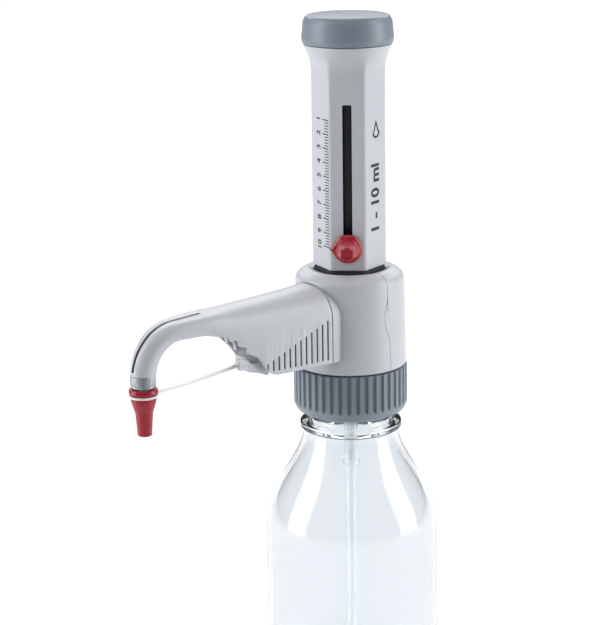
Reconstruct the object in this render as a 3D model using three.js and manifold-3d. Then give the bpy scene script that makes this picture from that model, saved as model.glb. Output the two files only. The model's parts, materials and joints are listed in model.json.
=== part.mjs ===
// A hand-pumped bottle-top dispenser on its 500 ml laboratory bottle.
// Millimetres, +Z up. The discharge arm points along -X, and the bottle stands on z = 0.
import * as THREE from "three";
import { mergeVertices } from "three/addons/utils/BufferGeometryUtils.js";
import Module from "manifold-3d";

const wasm = await Module();
wasm.setup();

// ---------------------------------------------------------------- driving dimensions

const GAP = 0.3; // clearance between pieces that touch in the real object

// Bottle: a 500 ml laboratory bottle with a 45 mm thread.
const BOTTLE_DIAMETER = 86;
const BOTTLE_HEIGHT = 176;
const BOTTLE_WALL = 2.6;
const BOTTLE_FLOOR = 4;
const HEEL_RADIUS = 7;
const MOUTH_BORE = 30;
const NECK_DIAMETER = 40.6;
const THREAD_DIAMETER = 44.4;
const THREAD_PITCH = 4;
const THREAD_TURNS = 3;
const BEAD_DIAMETER = 50.2;
const BEAD_DROP = 25; // from the lip down to the middle of the bead
const BEAD_HEIGHT = 5;
const SHOULDER_DROP = 78.5; // from the lip down to where the shoulder meets the straight wall
const SHOULDER_LEAN = 0.87; // under 1 puts more of the swell near the neck

// Stack between the bottle's lip and the housing.
const SEAL_THICKNESS = 1.2;
const FOOT_THICKNESS = 1.5;
const FOOT_DIAMETER = 41.6;
const RING_FLANGE = 1.6;
const SEAM_HEIGHT = 0.8;
const WASHER_THICKNESS = 1.2;

// Thread ring that screws the dispenser to the bottle.
const RING_WALL = 5.2; // from the thread's clearance out to the ribs
const RING_HEIGHT = 23.7;
const RING_RIB_HEIGHT = 19.2;
const RING_TOE_WALL = 1.4;
const RING_FLUTES = 42;
const FLUTE_DEPTH = 0.9;
const THREAD_CLEARANCE = 0.6;

// Valve block, the core that everything screws into.
const BLOCK_DIAMETER = 42;
const BLOCK_HEIGHT = 38;
const BLOCK_NECK = 34;
const VALVE_BORE = 12.8;
const VALVE_BORE_TOP = 16;
const CHANNEL_BORE = 4;
const OUTLET_HEIGHT = 34; // the outlet's axis above the seam
const OUTLET_BORE = 8.8;

// Filling valve and tubes.
const FILL_SEAT_LENGTH = 15.2;
const FILL_BALL = 5;
const FILL_NIPPLE = 4.4;
const FILL_NIPPLE_LENGTH = 10;
const UPPER_TUBE_OUTER = 6.8;
const UPPER_TUBE_LENGTH = 49;
const UPPER_TUBE_RIM = 8.4;
const TUBE_WALL = 0.8;
const TUBE_FLOOR_GAP = 9; // from the bottle's floor to the end of the filling tube
const TELESCOPE_TRAVEL = 30;

// Cylinder and piston.
const CYLINDER_BORE = 13.8;
const CYLINDER_WALL = 2;
const STROKE = 68;
const PISTON_HEAD_HEIGHT = 12;
const PISTON_REST = 1; // the piston's height above the cylinder's foot at rest
const ROD_DIAMETER = 8;
const SEAL_RIB = 0.3;

// Guide tube, with the flange at its top that stops the stroke.
const GUIDE_WALL = 2.4;
const STOP_FLANGE_HEIGHT = 2.5;
const STOP_FLANGE_WIDTH = 1.7;

// Pump sleeve: a six-sided handle that widens to a round top.
const SLEEVE_CORNER = 18.1; // from the axis to a corner
const SLEEVE_FRONT_HALF_ANGLE = 28.5; // degrees from the front face's middle to its corner
const SLEEVE_WALL = 1.8;
const SLEEVE_FILLET = 2.4;
const SLEEVE_BOTTOM = 49; // above the seam
const SLEEVE_LENGTH = 107;
const FLARE_LENGTH = 18;
const FLARE_RADIUS = 21.4;
const SLOT_WIDTH = 4.4;
const SLOT_TOP = 128.9; // above the seam
const SLOT_BELOW_POINTER = 5;
const SLOT_AZIMUTH = -134; // degrees, the way the slot faces

// Top cap.
const CAP_RADIUS = 22.1;
const CAP_HEIGHT = 14;
const CAP_TOP_WALL = 2.4;
const CAP_SKIRT = 5;
const CAP_SKIRT_WALL = 1.5;
const CAP_BOSS_RADIUS = 7;
const CAP_BOSS_LENGTH = 16;
const NUT_RADIUS = 8;
const NUT_HEIGHT = 6;

// Volume pointer and its thumb knob.
const POINTER_HEIGHT = 60; // above the seam, set to the largest volume
const POINTER_RADIUS = 7;
const POINTER_TIP = 9.1;
const POINTER_THICKNESS = 2;
const KNOB_LENGTH = 9.6;
const KNOB_BASE = 11.6;
const KNOB_FRONT = 6.4;
const KNOB_SIDES = 8;
const KNOB_SCREW = 2.4;
const CLAMP_THICKNESS = 1.3;
const CLAMP_WIDTH = 9;
const CLAMP_HEIGHT = 8;

// Housing shells.
const HOUSING_FOOT_RADIUS = 27.47;
const HOUSING_WALL = 2.3;
const HOUSING_SHOULDER = 42; // above the seam, where the side turns in to the top
const HOUSING_TOP = 47.9;
const ROOF_WALL = 2.2;
const SEAT_CORNER = 17.6;
const SEAT_HEIGHT = 9.4;
const SEAT_BORE_GAP = 0.4;
const HEX_GAP = 0.5;
const VENT_HEIGHT = 10;
const VENT_RADIUS = 3.4;

// Discharge arm, measured outwards from the bottle's axis.
const ARM_ROOT = 25.6;
const ARM_REACH = 125; // to the nozzle's axis
const ARM_BOTTOM = 6.9; // above the seam
const ARM_TOP = 43.4;
const ARM_ROOT_HALF_WIDTH = 17;
const ARM_WALL = 1.9;
const ARM_CORNER = 15;
const ARM_ENTRY = 22; // where the taper begins
const COLLAR_START = 14;
const NOZZLE_RADIUS = 6;
const BEND_RADIUS = 18;
const NOZZLE_END = 18.2; // above the seam
const ARM_OPENING_START = 59;
const ARM_OPENING_END = 94;
const ARM_UNDERSIDE = 31.4; // above the seam, beyond the opening
const RIB_THICKNESS = 1.2;
const RIB_WIDTH = 8;
const RIB_SHIFT = -2; // the ribs stand towards the far wall
const INNER_RIB_REACH = 73;
const INNER_RIB_BOTTOM = 18;
const OUTER_RIB_REACH = 77.5;
const OUTER_RIB_BOTTOM = 22.5;
const GROOVE_COUNT = 12;
const GROOVE_SHORTEST = 4;
const GROOVE_LONGEST = 19.5;
const GROOVE_PITCH = 3.1;
const GROOVE_WIDTH = 0.9;
const GROOVE_DEPTH = 0.7;
const TUBE_SLOT_WIDTH = 1.7;

// Discharge tube and the end sleeve around its tip.
const TUBE_STEP = 3.2; // longest straight facet along the tube
const DISCHARGE_TUBE_OUTER = 4.4;
const DISCHARGE_TUBE_BORE = 2;
const DISCHARGE_VALVE_BORE = 5.8;
const DISCHARGE_BALL = 3.8;
const DISCHARGE_BALL_TRAVEL = 1;
const TIP_BELOW_SLEEVE = 3.9;
const END_SLEEVE_HEIGHT = 5.7;

// Screw cap and its tether.
const CAP_MOUTH_GAP = 0.7;
const SCREW_FLANGE_RADIUS = 6.76;
const SCREW_FLANGE_HEIGHT = 2.6;
const SCREW_BODY_RADIUS = 5.85;
const SCREW_BODY_END = 3.3;
const SCREW_STEM_RADIUS = 4.15;
const SCREW_END_RADIUS = 3.5;
const SCREW_LENGTH = 22.4;
const SCREW_BORE = 9.8;
const RING_THICKNESS = 1;
const STRAP_WIDTH = 3;
const STRAP_THICKNESS = 1;
const PIN_REACH = 68.7;
const PIN_HEIGHT = 11.4; // above the seam
const PIN_RADIUS = 1.2;
const EYE_RADIUS = 2.9;

// ---------------------------------------------------------------- derived sizes

const bottleRadius = BOTTLE_DIAMETER / 2;
const seamHeight =
  BOTTLE_HEIGHT + GAP + SEAL_THICKNESS + GAP + FOOT_THICKNESS + GAP + RING_FLANGE + SEAM_HEIGHT;
const ringTop = -SEAM_HEIGHT;
const footTop = ringTop - RING_FLANGE - GAP;
const footBottom = footTop - FOOT_THICKNESS;
const sealBottom = footBottom - GAP - SEAL_THICKNESS;
const washerBottom = ringTop + GAP;
const blockBottom = washerBottom + WASHER_THICKNESS + GAP;
const blockTop = blockBottom + BLOCK_HEIGHT;
const guideInner = CYLINDER_BORE / 2 + CYLINDER_WALL + 0.7;
const guideOuter = guideInner + GUIDE_WALL;
const cylinderFoot = blockTop + GAP;
const pistonBottom = cylinderFoot + PISTON_REST;
const pistonTop = pistonBottom + PISTON_HEAD_HEIGHT;
const stopUnderside = POINTER_HEIGHT + CLAMP_HEIGHT / 2 + STROKE + GAP;
const guideTop = stopUnderside + STOP_FLANGE_HEIGHT;
const sleeveTop = SLEEVE_BOTTOM + SLEEVE_LENGTH;
const sleeveFace = SLEEVE_CORNER * Math.cos(THREE.MathUtils.degToRad(SLEEVE_FRONT_HALF_ANGLE));
const capBottom = sleeveTop + GAP;
const capTop = capBottom + CAP_HEIGHT;
const rodTop = capTop - CAP_TOP_WALL - 3 * GAP;
const seatBottom = SLEEVE_BOTTOM - 0.4 - SEAT_HEIGHT;
const bendCentre = ARM_REACH - BEND_RADIUS;
const bendHeight = OUTLET_HEIGHT - BEND_RADIUS;
const armOuterBend = BEND_RADIUS + NOZZLE_RADIUS;
const sleeveEndTop = NOZZLE_END - GAP;
const sleeveEndBottom = sleeveEndTop - END_SLEEVE_HEIGHT;
const tipBottom = sleeveEndBottom - TIP_BELOW_SLEEVE;
const screwTop = sleeveEndBottom - CAP_MOUTH_GAP;
const ringMiddle = screwTop - SCREW_FLANGE_HEIGHT - GAP - RING_THICKNESS / 2;

// ---------------------------------------------------------------- shape helpers

const AXES = {
  x: new THREE.Matrix4().makeBasis(
    new THREE.Vector3(0, 1, 0),
    new THREE.Vector3(0, 0, 1),
    new THREE.Vector3(1, 0, 0),
  ),
  y: new THREE.Matrix4().makeBasis(
    new THREE.Vector3(1, 0, 0),
    new THREE.Vector3(0, 0, 1),
    new THREE.Vector3(0, -1, 0),
  ),
};

// Turns a closed geometry into a solid whose faces point outwards.
function solid(geometry) {
  const bare = geometry.index ? geometry.toNonIndexed() : geometry.clone();
  bare.deleteAttribute("normal");
  bare.deleteAttribute("uv");
  const merged = mergeVertices(bare, 1e-4);
  const corners = [];
  const index = merged.index.array;
  for (let i = 0; i < index.length; i += 3) {
    const [a, b, c] = index.slice(i, i + 3);
    if (a !== b && b !== c && c !== a) corners.push(a, b, c);
  }
  const vertProperties = merged.attributes.position.array;
  const build = () =>
    new wasm.Manifold(
      new wasm.Mesh({ numProp: 3, vertProperties, triVerts: new Uint32Array(corners) }),
    );
  const made = build();
  if (made.volume() > 0) return made;
  corners.reverse();
  return build();
}

// A profile of [radius, height] points turned about Z.
function turned(profile, segments = 30) {
  const points = profile.map(([r, z]) => new THREE.Vector2(r, z));
  const closed = [...points, points[0].clone()];
  return solid(new THREE.LatheGeometry(closed, segments).rotateX(Math.PI / 2));
}

// The same, turned about X: the profile's heights run along +X.
function turnedAlongX(profile, segments = 18) {
  const points = profile.map(([r, x]) => new THREE.Vector2(r, x));
  const closed = [...points, points[0].clone()];
  return solid(new THREE.LatheGeometry(closed, segments).rotateZ(-Math.PI / 2));
}

function rod(radius, from, to, segments = 18) {
  return turned([[0, from], [radius, from], [radius, to], [0, to]], segments);
}

function tubeOf(outer, inner, from, to, segments = 30) {
  return turned([[inner, from], [outer, from], [outer, to], [inner, to]], segments);
}

function shapeOf(points) {
  return new THREE.Shape(points.map(([x, y]) => new THREE.Vector2(x, y)));
}

// A flat shape pushed along Z, X or Y. Along X it is drawn in (y, z); along Y in (x, z).
function prism(shape, from, to, along = "z", curveSegments = 6) {
  const depth = to - from;
  const settings = { depth, bevelEnabled: false, curveSegments };
  const geometry = new THREE.ExtrudeGeometry(shape, settings);
  if (along === "y") {
    geometry.translate(0, 0, -to);
    geometry.applyMatrix4(AXES.y);
  } else {
    geometry.translate(0, 0, from);
    if (along === "x") geometry.applyMatrix4(AXES.x);
  }
  return solid(geometry);
}

function block(sizeX, sizeY, sizeZ, x, y, z) {
  return solid(new THREE.BoxGeometry(sizeX, sizeY, sizeZ).translate(x, y, z));
}

// A solid of round section along a curve.
function swept(curve, radius, steps, sides) {
  const circle = new THREE.Shape().absarc(0, 0, radius, 0, 2 * Math.PI);
  const curveSegments = sides / 2; // three.js draws a full circle with twice as many
  const settings = { steps, curveSegments, extrudePath: curve, bevelEnabled: false };
  return solid(new THREE.ExtrudeGeometry(circle, settings));
}

// A round tube along a route, in steps short enough for its bend.
function sweptTube(route, radius, sides) {
  return swept(route, radius, Math.ceil(route.getLength() / TUBE_STEP), sides);
}

// A closed outline whose corners are rounded.
function roundedOutline(points, radius) {
  const shape = new THREE.Shape();
  points.forEach((corner, i) => {
    const before = points[(i + points.length - 1) % points.length];
    const after = points[(i + 1) % points.length];
    const start = stepTowards(corner, before, radius);
    const end = stepTowards(corner, after, radius);
    if (i === 0) shape.moveTo(...start);
    else shape.lineTo(...start);
    shape.quadraticCurveTo(...corner, ...end);
  });
  shape.closePath();
  return shape;
}

function stepTowards(from, to, distance) {
  const length = Math.hypot(to[0] - from[0], to[1] - from[1]);
  const share = distance / length;
  return [from[0] + (to[0] - from[0]) * share, from[1] + (to[1] - from[1]) * share];
}

// The handle's six-sided outline, its front face towards +X.
function handleOutline(corner, fillet) {
  const front = SLEEVE_FRONT_HALF_ANGLE;
  const angles = [front, 90, 180 - front, 180 + front, 270, 360 - front];
  const points = angles.map((degrees) => {
    const angle = THREE.MathUtils.degToRad(degrees);
    return [corner * Math.cos(angle), corner * Math.sin(angle)];
  });
  return roundedOutline(points, fillet);
}

function hollow(shell, ...cutters) {
  return cutters.reduce((left, cutter) => left.subtract(cutter), shell);
}

// ---------------------------------------------------------------- materials and meshes

const FINISHES = {
  glass: { color: "#dfe9ec", roughness: 0.05, metalness: 0 },
  palePlastic: { color: "#ccd1d6", roughness: 0.4, metalness: 0 },
  slatePlastic: { color: "#8a98a5", roughness: 0.45, metalness: 0 },
  darkPlastic: { color: "#3c434a", roughness: 0.5, metalness: 0 },
  blackPlastic: { color: "#26282a", roughness: 0.5, metalness: 0 },
  redPlastic: { color: "#b52a3d", roughness: 0.35, metalness: 0 },
  fluoropolymer: { color: "#e9ecee", roughness: 0.35, metalness: 0 },
  ceramic: { color: "#f4f2ec", roughness: 0.25, metalness: 0 },
  steel: { color: "#b9bcc0", roughness: 0.3, metalness: 1 },
};

function piece(name, shape, finish) {
  const { vertProperties, triVerts, numProp } = shape.getMesh();
  const positions = new Float32Array((vertProperties.length / numProp) * 3);
  for (let i = 0; i < positions.length / 3; i++) {
    for (let axis = 0; axis < 3; axis++) {
      positions[3 * i + axis] = vertProperties[numProp * i + axis];
    }
  }
  const geometry = new THREE.BufferGeometry();
  geometry.setAttribute("position", new THREE.BufferAttribute(positions, 3));
  geometry.setIndex(Array.from(triVerts));
  geometry.computeVertexNormals();
  const mesh = new THREE.Mesh(geometry, new THREE.MeshStandardMaterial(FINISHES[finish]));
  mesh.name = name;
  return mesh;
}

// ---------------------------------------------------------------- bottle

// Radius of the bottle's outside between the bead and the straight wall.
function shoulderRadius(height) {
  const top = BOTTLE_HEIGHT - BEAD_DROP - BEAD_HEIGHT / 2;
  const bottom = BOTTLE_HEIGHT - SHOULDER_DROP;
  const share = (top - height) / (top - bottom);
  const neck = BEAD_DIAMETER / 2 - 1.7;
  const bulge = (1 - Math.cos(Math.PI * share ** SHOULDER_LEAN)) / 2;
  return neck + (bottleRadius - neck) * bulge;
}

function shoulderPoints(inset) {
  const top = BOTTLE_HEIGHT - BEAD_DROP - BEAD_HEIGHT / 2;
  const bottom = BOTTLE_HEIGHT - SHOULDER_DROP;
  const steps = 8;
  const points = [];
  for (let i = 0; i <= steps; i++) {
    const z = bottom + ((top - bottom) * i) / steps;
    points.push([shoulderRadius(z) - inset, z - inset * 0.5 * Math.sin((Math.PI * i) / steps)]);
  }
  return points;
}

function heelPoints(radius, floor, fillet) {
  const points = [];
  const steps = 3;
  for (let i = 0; i <= steps; i++) {
    const angle = (Math.PI / 2) * (i / steps);
    const r = radius - fillet + fillet * Math.sin(angle);
    points.push([r, floor + fillet - fillet * Math.cos(angle)]);
  }
  return points;
}

function threadRidges() {
  const root = NECK_DIAMETER / 2;
  const crest = THREAD_DIAMETER / 2;
  const points = [];
  const lowest = BOTTLE_HEIGHT - 3 - THREAD_TURNS * THREAD_PITCH;
  for (let turn = 0; turn < THREAD_TURNS; turn++) {
    const z = lowest + turn * THREAD_PITCH;
    points.push([root, z], [crest, z + 1.1], [crest, z + 1.9], [root, z + 3]);
  }
  return points;
}

function bottle() {
  const beadTop = BOTTLE_HEIGHT - BEAD_DROP + BEAD_HEIGHT / 2;
  const beadRadius = BEAD_DIAMETER / 2;
  const outside = [
    ...heelPoints(bottleRadius, 0, HEEL_RADIUS),
    ...shoulderPoints(0),
    [beadRadius, beadTop - BEAD_HEIGHT * 0.7],
    [beadRadius, beadTop - BEAD_HEIGHT * 0.3],
    [NECK_DIAMETER / 2 + 1, beadTop],
    ...threadRidges(),
    [NECK_DIAMETER / 2, BOTTLE_HEIGHT - 0.8],
    [NECK_DIAMETER / 2 - 0.8, BOTTLE_HEIGHT],
  ];
  const inside = [
    ...heelPoints(bottleRadius - BOTTLE_WALL, BOTTLE_FLOOR, HEEL_RADIUS - 2),
    ...shoulderPoints(BOTTLE_WALL),
    [MOUTH_BORE / 2 + 1.5, beadTop - 1],
    [MOUTH_BORE / 2, beadTop + 5],
    [MOUTH_BORE / 2, BOTTLE_HEIGHT],
  ];
  const profile = [[0, 0], ...outside, ...inside.reverse(), [0, BOTTLE_FLOOR]];
  return piece("bottle", turned(profile, 36), "glass");
}

// ---------------------------------------------------------------- thread ring and seals

function bottleSeal() {
  const shape = tubeOf(FOOT_DIAMETER / 2, MOUTH_BORE / 2, sealBottom, sealBottom + SEAL_THICKNESS);
  return piece("bottle_seal", shape, "fluoropolymer");
}

// A round outline with evenly spaced grip flutes.
function flutedOutline(radius) {
  const points = [];
  const stations = [[0, 1], [0.28, 1], [0.44, 0], [0.84, 0]];
  for (let i = 0; i < RING_FLUTES; i++) {
    for (const [share, raised] of stations) {
      const angle = ((i + share) / RING_FLUTES) * 2 * Math.PI;
      const r = radius - FLUTE_DEPTH * raised;
      points.push([r * Math.cos(angle), r * Math.sin(angle)]);
    }
  }
  return shapeOf(points);
}

function threadRing() {
  const threadRadius = THREAD_DIAMETER / 2 + THREAD_CLEARANCE;
  const radius = threadRadius + RING_WALL;
  const bottom = ringTop - RING_HEIGHT;
  const ribEnd = ringTop - RING_RIB_HEIGHT;
  const body = turned([
    [0, bottom],
    [threadRadius + RING_TOE_WALL, bottom],
    [radius - 1.3, bottom + 2],
    [radius, ribEnd - 0.4],
    [radius, ringTop],
    [0, ringTop],
  ], RING_FLUTES);
  const grip = prism(flutedOutline(radius), ribEnd, ringTop + 1);
  const belowGrip = rod(radius + 1, bottom - 1, ribEnd, RING_FLUTES);
  const bore = rod(threadRadius, bottom - 2, ringTop - RING_FLANGE, RING_FLUTES);
  const eye = rod(BLOCK_NECK / 2 + GAP, bottom, ringTop + 1, 48);
  const shape = hollow(body.intersect(grip.add(belowGrip)), bore, eye);
  return piece("thread_ring", shape, "slatePlastic");
}

function swivelWasher() {
  const outer = HOUSING_FOOT_RADIUS - HOUSING_WALL - GAP;
  const inner = BLOCK_NECK / 2 + GAP;
  const shape = tubeOf(outer, inner, washerBottom, washerBottom + WASHER_THICKNESS);
  return piece("swivel_washer", shape, "darkPlastic");
}

// ---------------------------------------------------------------- valves and tubes

function valveBlock() {
  const neck = BLOCK_NECK / 2;
  const wide = BLOCK_DIAMETER / 2;
  const core = turned([
    [VALVE_BORE / 2, footBottom],
    [FOOT_DIAMETER / 2, footBottom],
    [FOOT_DIAMETER / 2, footTop],
    [neck, footTop],
    [neck, blockBottom],
    [wide, blockBottom],
    [wide, blockTop],
    [CHANNEL_BORE / 2, blockTop],
    [CHANNEL_BORE / 2, VALVE_BORE_TOP + 3],
    [VALVE_BORE / 2, VALVE_BORE_TOP],
  ]);
  const outlet = turnedAlongX([
    [0, 0],
    [CHANNEL_BORE / 2 - 0.5, 0],
    [CHANNEL_BORE / 2 - 0.5, 7],
    [OUTLET_BORE / 2, 7],
    [OUTLET_BORE / 2, wide + 1],
    [0, wide + 1],
  ]).rotate([0, 0, 180]).translate([0, 0, OUTLET_HEIGHT]);
  return piece("valve_block", core.subtract(outlet), "fluoropolymer");
}

const fillSeatTop = footBottom + FILL_SEAT_LENGTH;
const fillCup = FILL_BALL / 2 + 1.1;
const fillCupFloor = fillSeatTop - FILL_BALL / 2 - 2.4;
const fillBallHeight =
  fillCupFloor + GAP + Math.sqrt((FILL_BALL / 2) ** 2 - (FILL_NIPPLE / 2 - TUBE_WALL) ** 2);

function fillingValveSeat() {
  const bore = FILL_NIPPLE / 2 - TUBE_WALL;
  const nippleEnd = footBottom - FILL_NIPPLE_LENGTH;
  const shape = turned([
    [bore, nippleEnd],
    [FILL_NIPPLE / 2, nippleEnd],
    [FILL_NIPPLE / 2, footBottom],
    [VALVE_BORE / 2 - GAP, footBottom],
    [VALVE_BORE / 2 - GAP, fillSeatTop],
    [fillCup, fillSeatTop],
    [fillCup, fillCupFloor],
    [bore, fillCupFloor],
  ], 24);
  return piece("filling_valve_seat", shape, "fluoropolymer");
}

function ball(name, diameter) {
  return piece(name, solid(new THREE.SphereGeometry(diameter / 2, 14, 9)), "ceramic");
}

const upperTubeTop = footBottom - GAP;
const upperTubeBottom = upperTubeTop - UPPER_TUBE_LENGTH;
const upperTubeBore = FILL_NIPPLE / 2 + GAP;

function upperFillingTube() {
  const outer = UPPER_TUBE_OUTER / 2;
  const shape = turned([
    [upperTubeBore, upperTubeBottom],
    [UPPER_TUBE_RIM / 2, upperTubeBottom],
    [UPPER_TUBE_RIM / 2, upperTubeBottom + 1.6],
    [outer, upperTubeBottom + 2.4],
    [outer, upperTubeTop],
    [upperTubeBore, upperTubeTop],
  ], 24);
  return piece("upper_filling_tube", shape, "fluoropolymer");
}

const lowerTubeTop = upperTubeTop - FILL_NIPPLE_LENGTH - TELESCOPE_TRAVEL - 1;
const lowerTubeBottom = BOTTLE_FLOOR + TUBE_FLOOR_GAP - seamHeight;

function lowerFillingTube() {
  const outer = upperTubeBore - 0.2;
  const inner = outer - TUBE_WALL;
  const shape = tubeOf(outer, inner, lowerTubeBottom, lowerTubeTop, 24);
  const slant = block(20, 20, 8, 0, 0, 0).rotate([0, 35, 0]);
  const cut = slant.translate([0, 0, lowerTubeBottom - 3]);
  return piece("lower_filling_tube", shape.subtract(cut), "fluoropolymer");
}

const outletStart = 7 + GAP;
const outletNut = BLOCK_DIAMETER / 2 + GAP;
const outletNippleStart = outletNut + 4;
const outletEnd = outletNippleStart + 6;
const dischargeBallReach =
  outletStart + 2 + Math.sqrt((DISCHARGE_BALL / 2) ** 2 - 1.2 ** 2) + GAP;

function dischargeValve() {
  const bore = DISCHARGE_TUBE_BORE / 2;
  const shape = turnedAlongX([
    [1.2, outletStart],
    [OUTLET_BORE / 2 - GAP, outletStart],
    [OUTLET_BORE / 2 - GAP, outletNut],
    [6.2, outletNut],
    [6.2, outletNippleStart],
    [DISCHARGE_TUBE_OUTER / 2, outletNippleStart],
    [DISCHARGE_TUBE_OUTER / 2, outletEnd],
    [bore, outletEnd],
    [bore, outletNut - 1],
    [DISCHARGE_VALVE_BORE / 2, outletNut - 1],
    [DISCHARGE_VALVE_BORE / 2, outletStart + 2],
    [1.2, outletStart + 2],
  ]).translate([0, 0, OUTLET_HEIGHT]);
  return piece("discharge_valve_body", shape, "fluoropolymer");
}

function dischargeSpring() {
  const from = dischargeBallReach + DISCHARGE_BALL / 2 + DISCHARGE_BALL_TRAVEL + GAP;
  const to = outletNut - 1 - GAP - 0.35;
  const turns = 4;
  const points = [];
  for (let i = 0; i <= turns * 6; i++) {
    const angle = (i / 6) * 2 * Math.PI;
    const x = from + 0.35 + ((to - from - 0.35) * i) / (turns * 6);
    points.push(new THREE.Vector3(x, 1.9 * Math.cos(angle), OUTLET_HEIGHT + 1.9 * Math.sin(angle)));
  }
  const coil = swept(new THREE.CatmullRomCurve3(points), 0.3, turns * 7, 6);
  return piece("discharge_valve_spring", coil, "steel");
}

// The discharge tube's centre line, from the valve's nipple round the bend to the tip.
function dischargeRoute(startReach, endHeight) {
  const start = new THREE.Vector3(startReach, 0, OUTLET_HEIGHT);
  const bendStart = new THREE.Vector3(bendCentre, 0, OUTLET_HEIGHT);
  const bendEnd = new THREE.Vector3(ARM_REACH, 0, bendHeight);
  const end = new THREE.Vector3(ARM_REACH, 0, endHeight);
  const tangent = BEND_RADIUS * 0.5523;
  const route = new THREE.CurvePath();
  route.add(new THREE.LineCurve3(start, bendStart));
  route.add(new THREE.CubicBezierCurve3(
    bendStart,
    new THREE.Vector3(bendCentre + tangent, 0, OUTLET_HEIGHT),
    new THREE.Vector3(ARM_REACH, 0, bendHeight + tangent),
    bendEnd,
  ));
  route.add(new THREE.LineCurve3(bendEnd, end));
  return route;
}

function dischargeTube() {
  const from = outletEnd + GAP;
  const outside = sweptTube(dischargeRoute(from, tipBottom), DISCHARGE_TUBE_OUTER / 2, 12);
  const inside = sweptTube(dischargeRoute(from - 1, tipBottom - 1), DISCHARGE_TUBE_BORE / 2, 8);
  return piece("discharge_tube", outside.subtract(inside), "fluoropolymer");
}

function nozzleSleeve() {
  const inner = DISCHARGE_TUBE_OUTER / 2 + 0.5;
  const shape = turned([
    [inner, sleeveEndBottom],
    [NOZZLE_RADIUS - 0.4, sleeveEndBottom],
    [NOZZLE_RADIUS, sleeveEndBottom + 0.6],
    [NOZZLE_RADIUS, sleeveEndTop],
    [inner, sleeveEndTop],
  ], 24).translate([ARM_REACH, 0, 0]);
  return piece("nozzle_sleeve", shape, "fluoropolymer");
}

// ---------------------------------------------------------------- cylinder and guide

function glassCylinder() {
  const inner = CYLINDER_BORE / 2;
  const shape = tubeOf(inner + CYLINDER_WALL, inner, cylinderFoot, stopUnderside);
  return piece("glass_cylinder", shape, "glass");
}

function guideTube() {
  const shape = turned([
    [guideInner, cylinderFoot],
    [guideOuter, cylinderFoot],
    [guideOuter, stopUnderside],
    [guideOuter + STOP_FLANGE_WIDTH, stopUnderside],
    [guideOuter + STOP_FLANGE_WIDTH, guideTop],
    [guideInner, guideTop],
  ], 30);
  return piece("guide_tube", shape, "blackPlastic");
}

// ---------------------------------------------------------------- pump sleeve assembly

// Outer radius of the part of the handle that widens, at a height above the seam.
function flareRadius(height) {
  const share = THREE.MathUtils.clamp((height - sleeveTop) / FLARE_LENGTH + 1, 0, 1);
  const swell = (1 - Math.cos(Math.PI * share)) / 2;
  return sleeveFace + (FLARE_RADIUS - sleeveFace) * swell;
}

// The part of the handle that widens from the six-sided body to a round top.
function flare(inset, from, to) {
  const steps = 6;
  const points = [[0, from], [sleeveFace - inset, from]];
  for (let i = 0; i <= steps; i++) {
    const height = sleeveTop - FLARE_LENGTH * (1 - i / steps);
    points.push([flareRadius(height) - inset, height]);
  }
  if (to > sleeveTop) points.push([FLARE_RADIUS - inset, to]);
  points.push([0, to]);
  return turned(points, 36);
}

function handleSleeve() {
  const outside = prism(handleOutline(SLEEVE_CORNER, SLEEVE_FILLET), SLEEVE_BOTTOM, sleeveTop - 8);
  const innerCorner = SLEEVE_CORNER - SLEEVE_WALL / Math.cos(Math.PI / 6);
  const bore = prism(handleOutline(innerCorner, SLEEVE_FILLET), SLEEVE_BOTTOM - 1, sleeveTop - 12);
  const widening = flare(0, sleeveTop - FLARE_LENGTH - 1, sleeveTop);
  const wideBore = flare(SLEEVE_WALL, sleeveTop - FLARE_LENGTH - 2, sleeveTop + 1);
  const slotBottom = POINTER_HEIGHT - SLOT_BELOW_POINTER;
  const slot = block(8, SLOT_WIDTH, SLOT_TOP - slotBottom, sleeveFace, 0, (SLOT_TOP + slotBottom) / 2);
  return piece("handle_sleeve", hollow(outside.add(widening), bore, wideBore, slot), "palePlastic");
}

function topCap() {
  const skirt = flareRadius(capBottom - CAP_SKIRT) - SLEEVE_WALL - 3 * GAP;
  const ceiling = capTop - CAP_TOP_WALL;
  const shape = turned([
    [0, capTop],
    [CAP_RADIUS - 3.6, capTop - 0.3],
    [CAP_RADIUS - 1.6, capTop - 1.2],
    [CAP_RADIUS - 0.6, capTop - 3],
    [CAP_RADIUS, capBottom + 1.4],
    [CAP_RADIUS - 0.4, capBottom + 0.3],
    [CAP_RADIUS - 1, capBottom],
    [skirt, capBottom],
    [skirt, capBottom - CAP_SKIRT],
    [skirt - CAP_SKIRT_WALL, capBottom - CAP_SKIRT],
    [skirt - CAP_SKIRT_WALL, ceiling],
    [CAP_BOSS_RADIUS, ceiling],
    [CAP_BOSS_RADIUS, ceiling - CAP_BOSS_LENGTH],
    [ROD_DIAMETER / 2 + GAP, ceiling - CAP_BOSS_LENGTH],
    [ROD_DIAMETER / 2 + GAP, rodTop + GAP],
    [0, rodTop + GAP],
  ], 32);
  return piece("top_cap", shape, "slatePlastic");
}

function calibrationNut() {
  const top = capTop - CAP_TOP_WALL - CAP_BOSS_LENGTH - GAP;
  const shape = tubeOf(NUT_RADIUS, ROD_DIAMETER / 2 + GAP, top - NUT_HEIGHT, top, 6);
  const bore = rod(ROD_DIAMETER / 2 + GAP, top - NUT_HEIGHT - 1, top + 1, 32);
  return piece("calibration_nut", shape.subtract(bore), "blackPlastic");
}

function pistonRod() {
  return piece("piston_rod", rod(ROD_DIAMETER / 2, pistonTop + GAP, rodTop), "ceramic");
}

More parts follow.
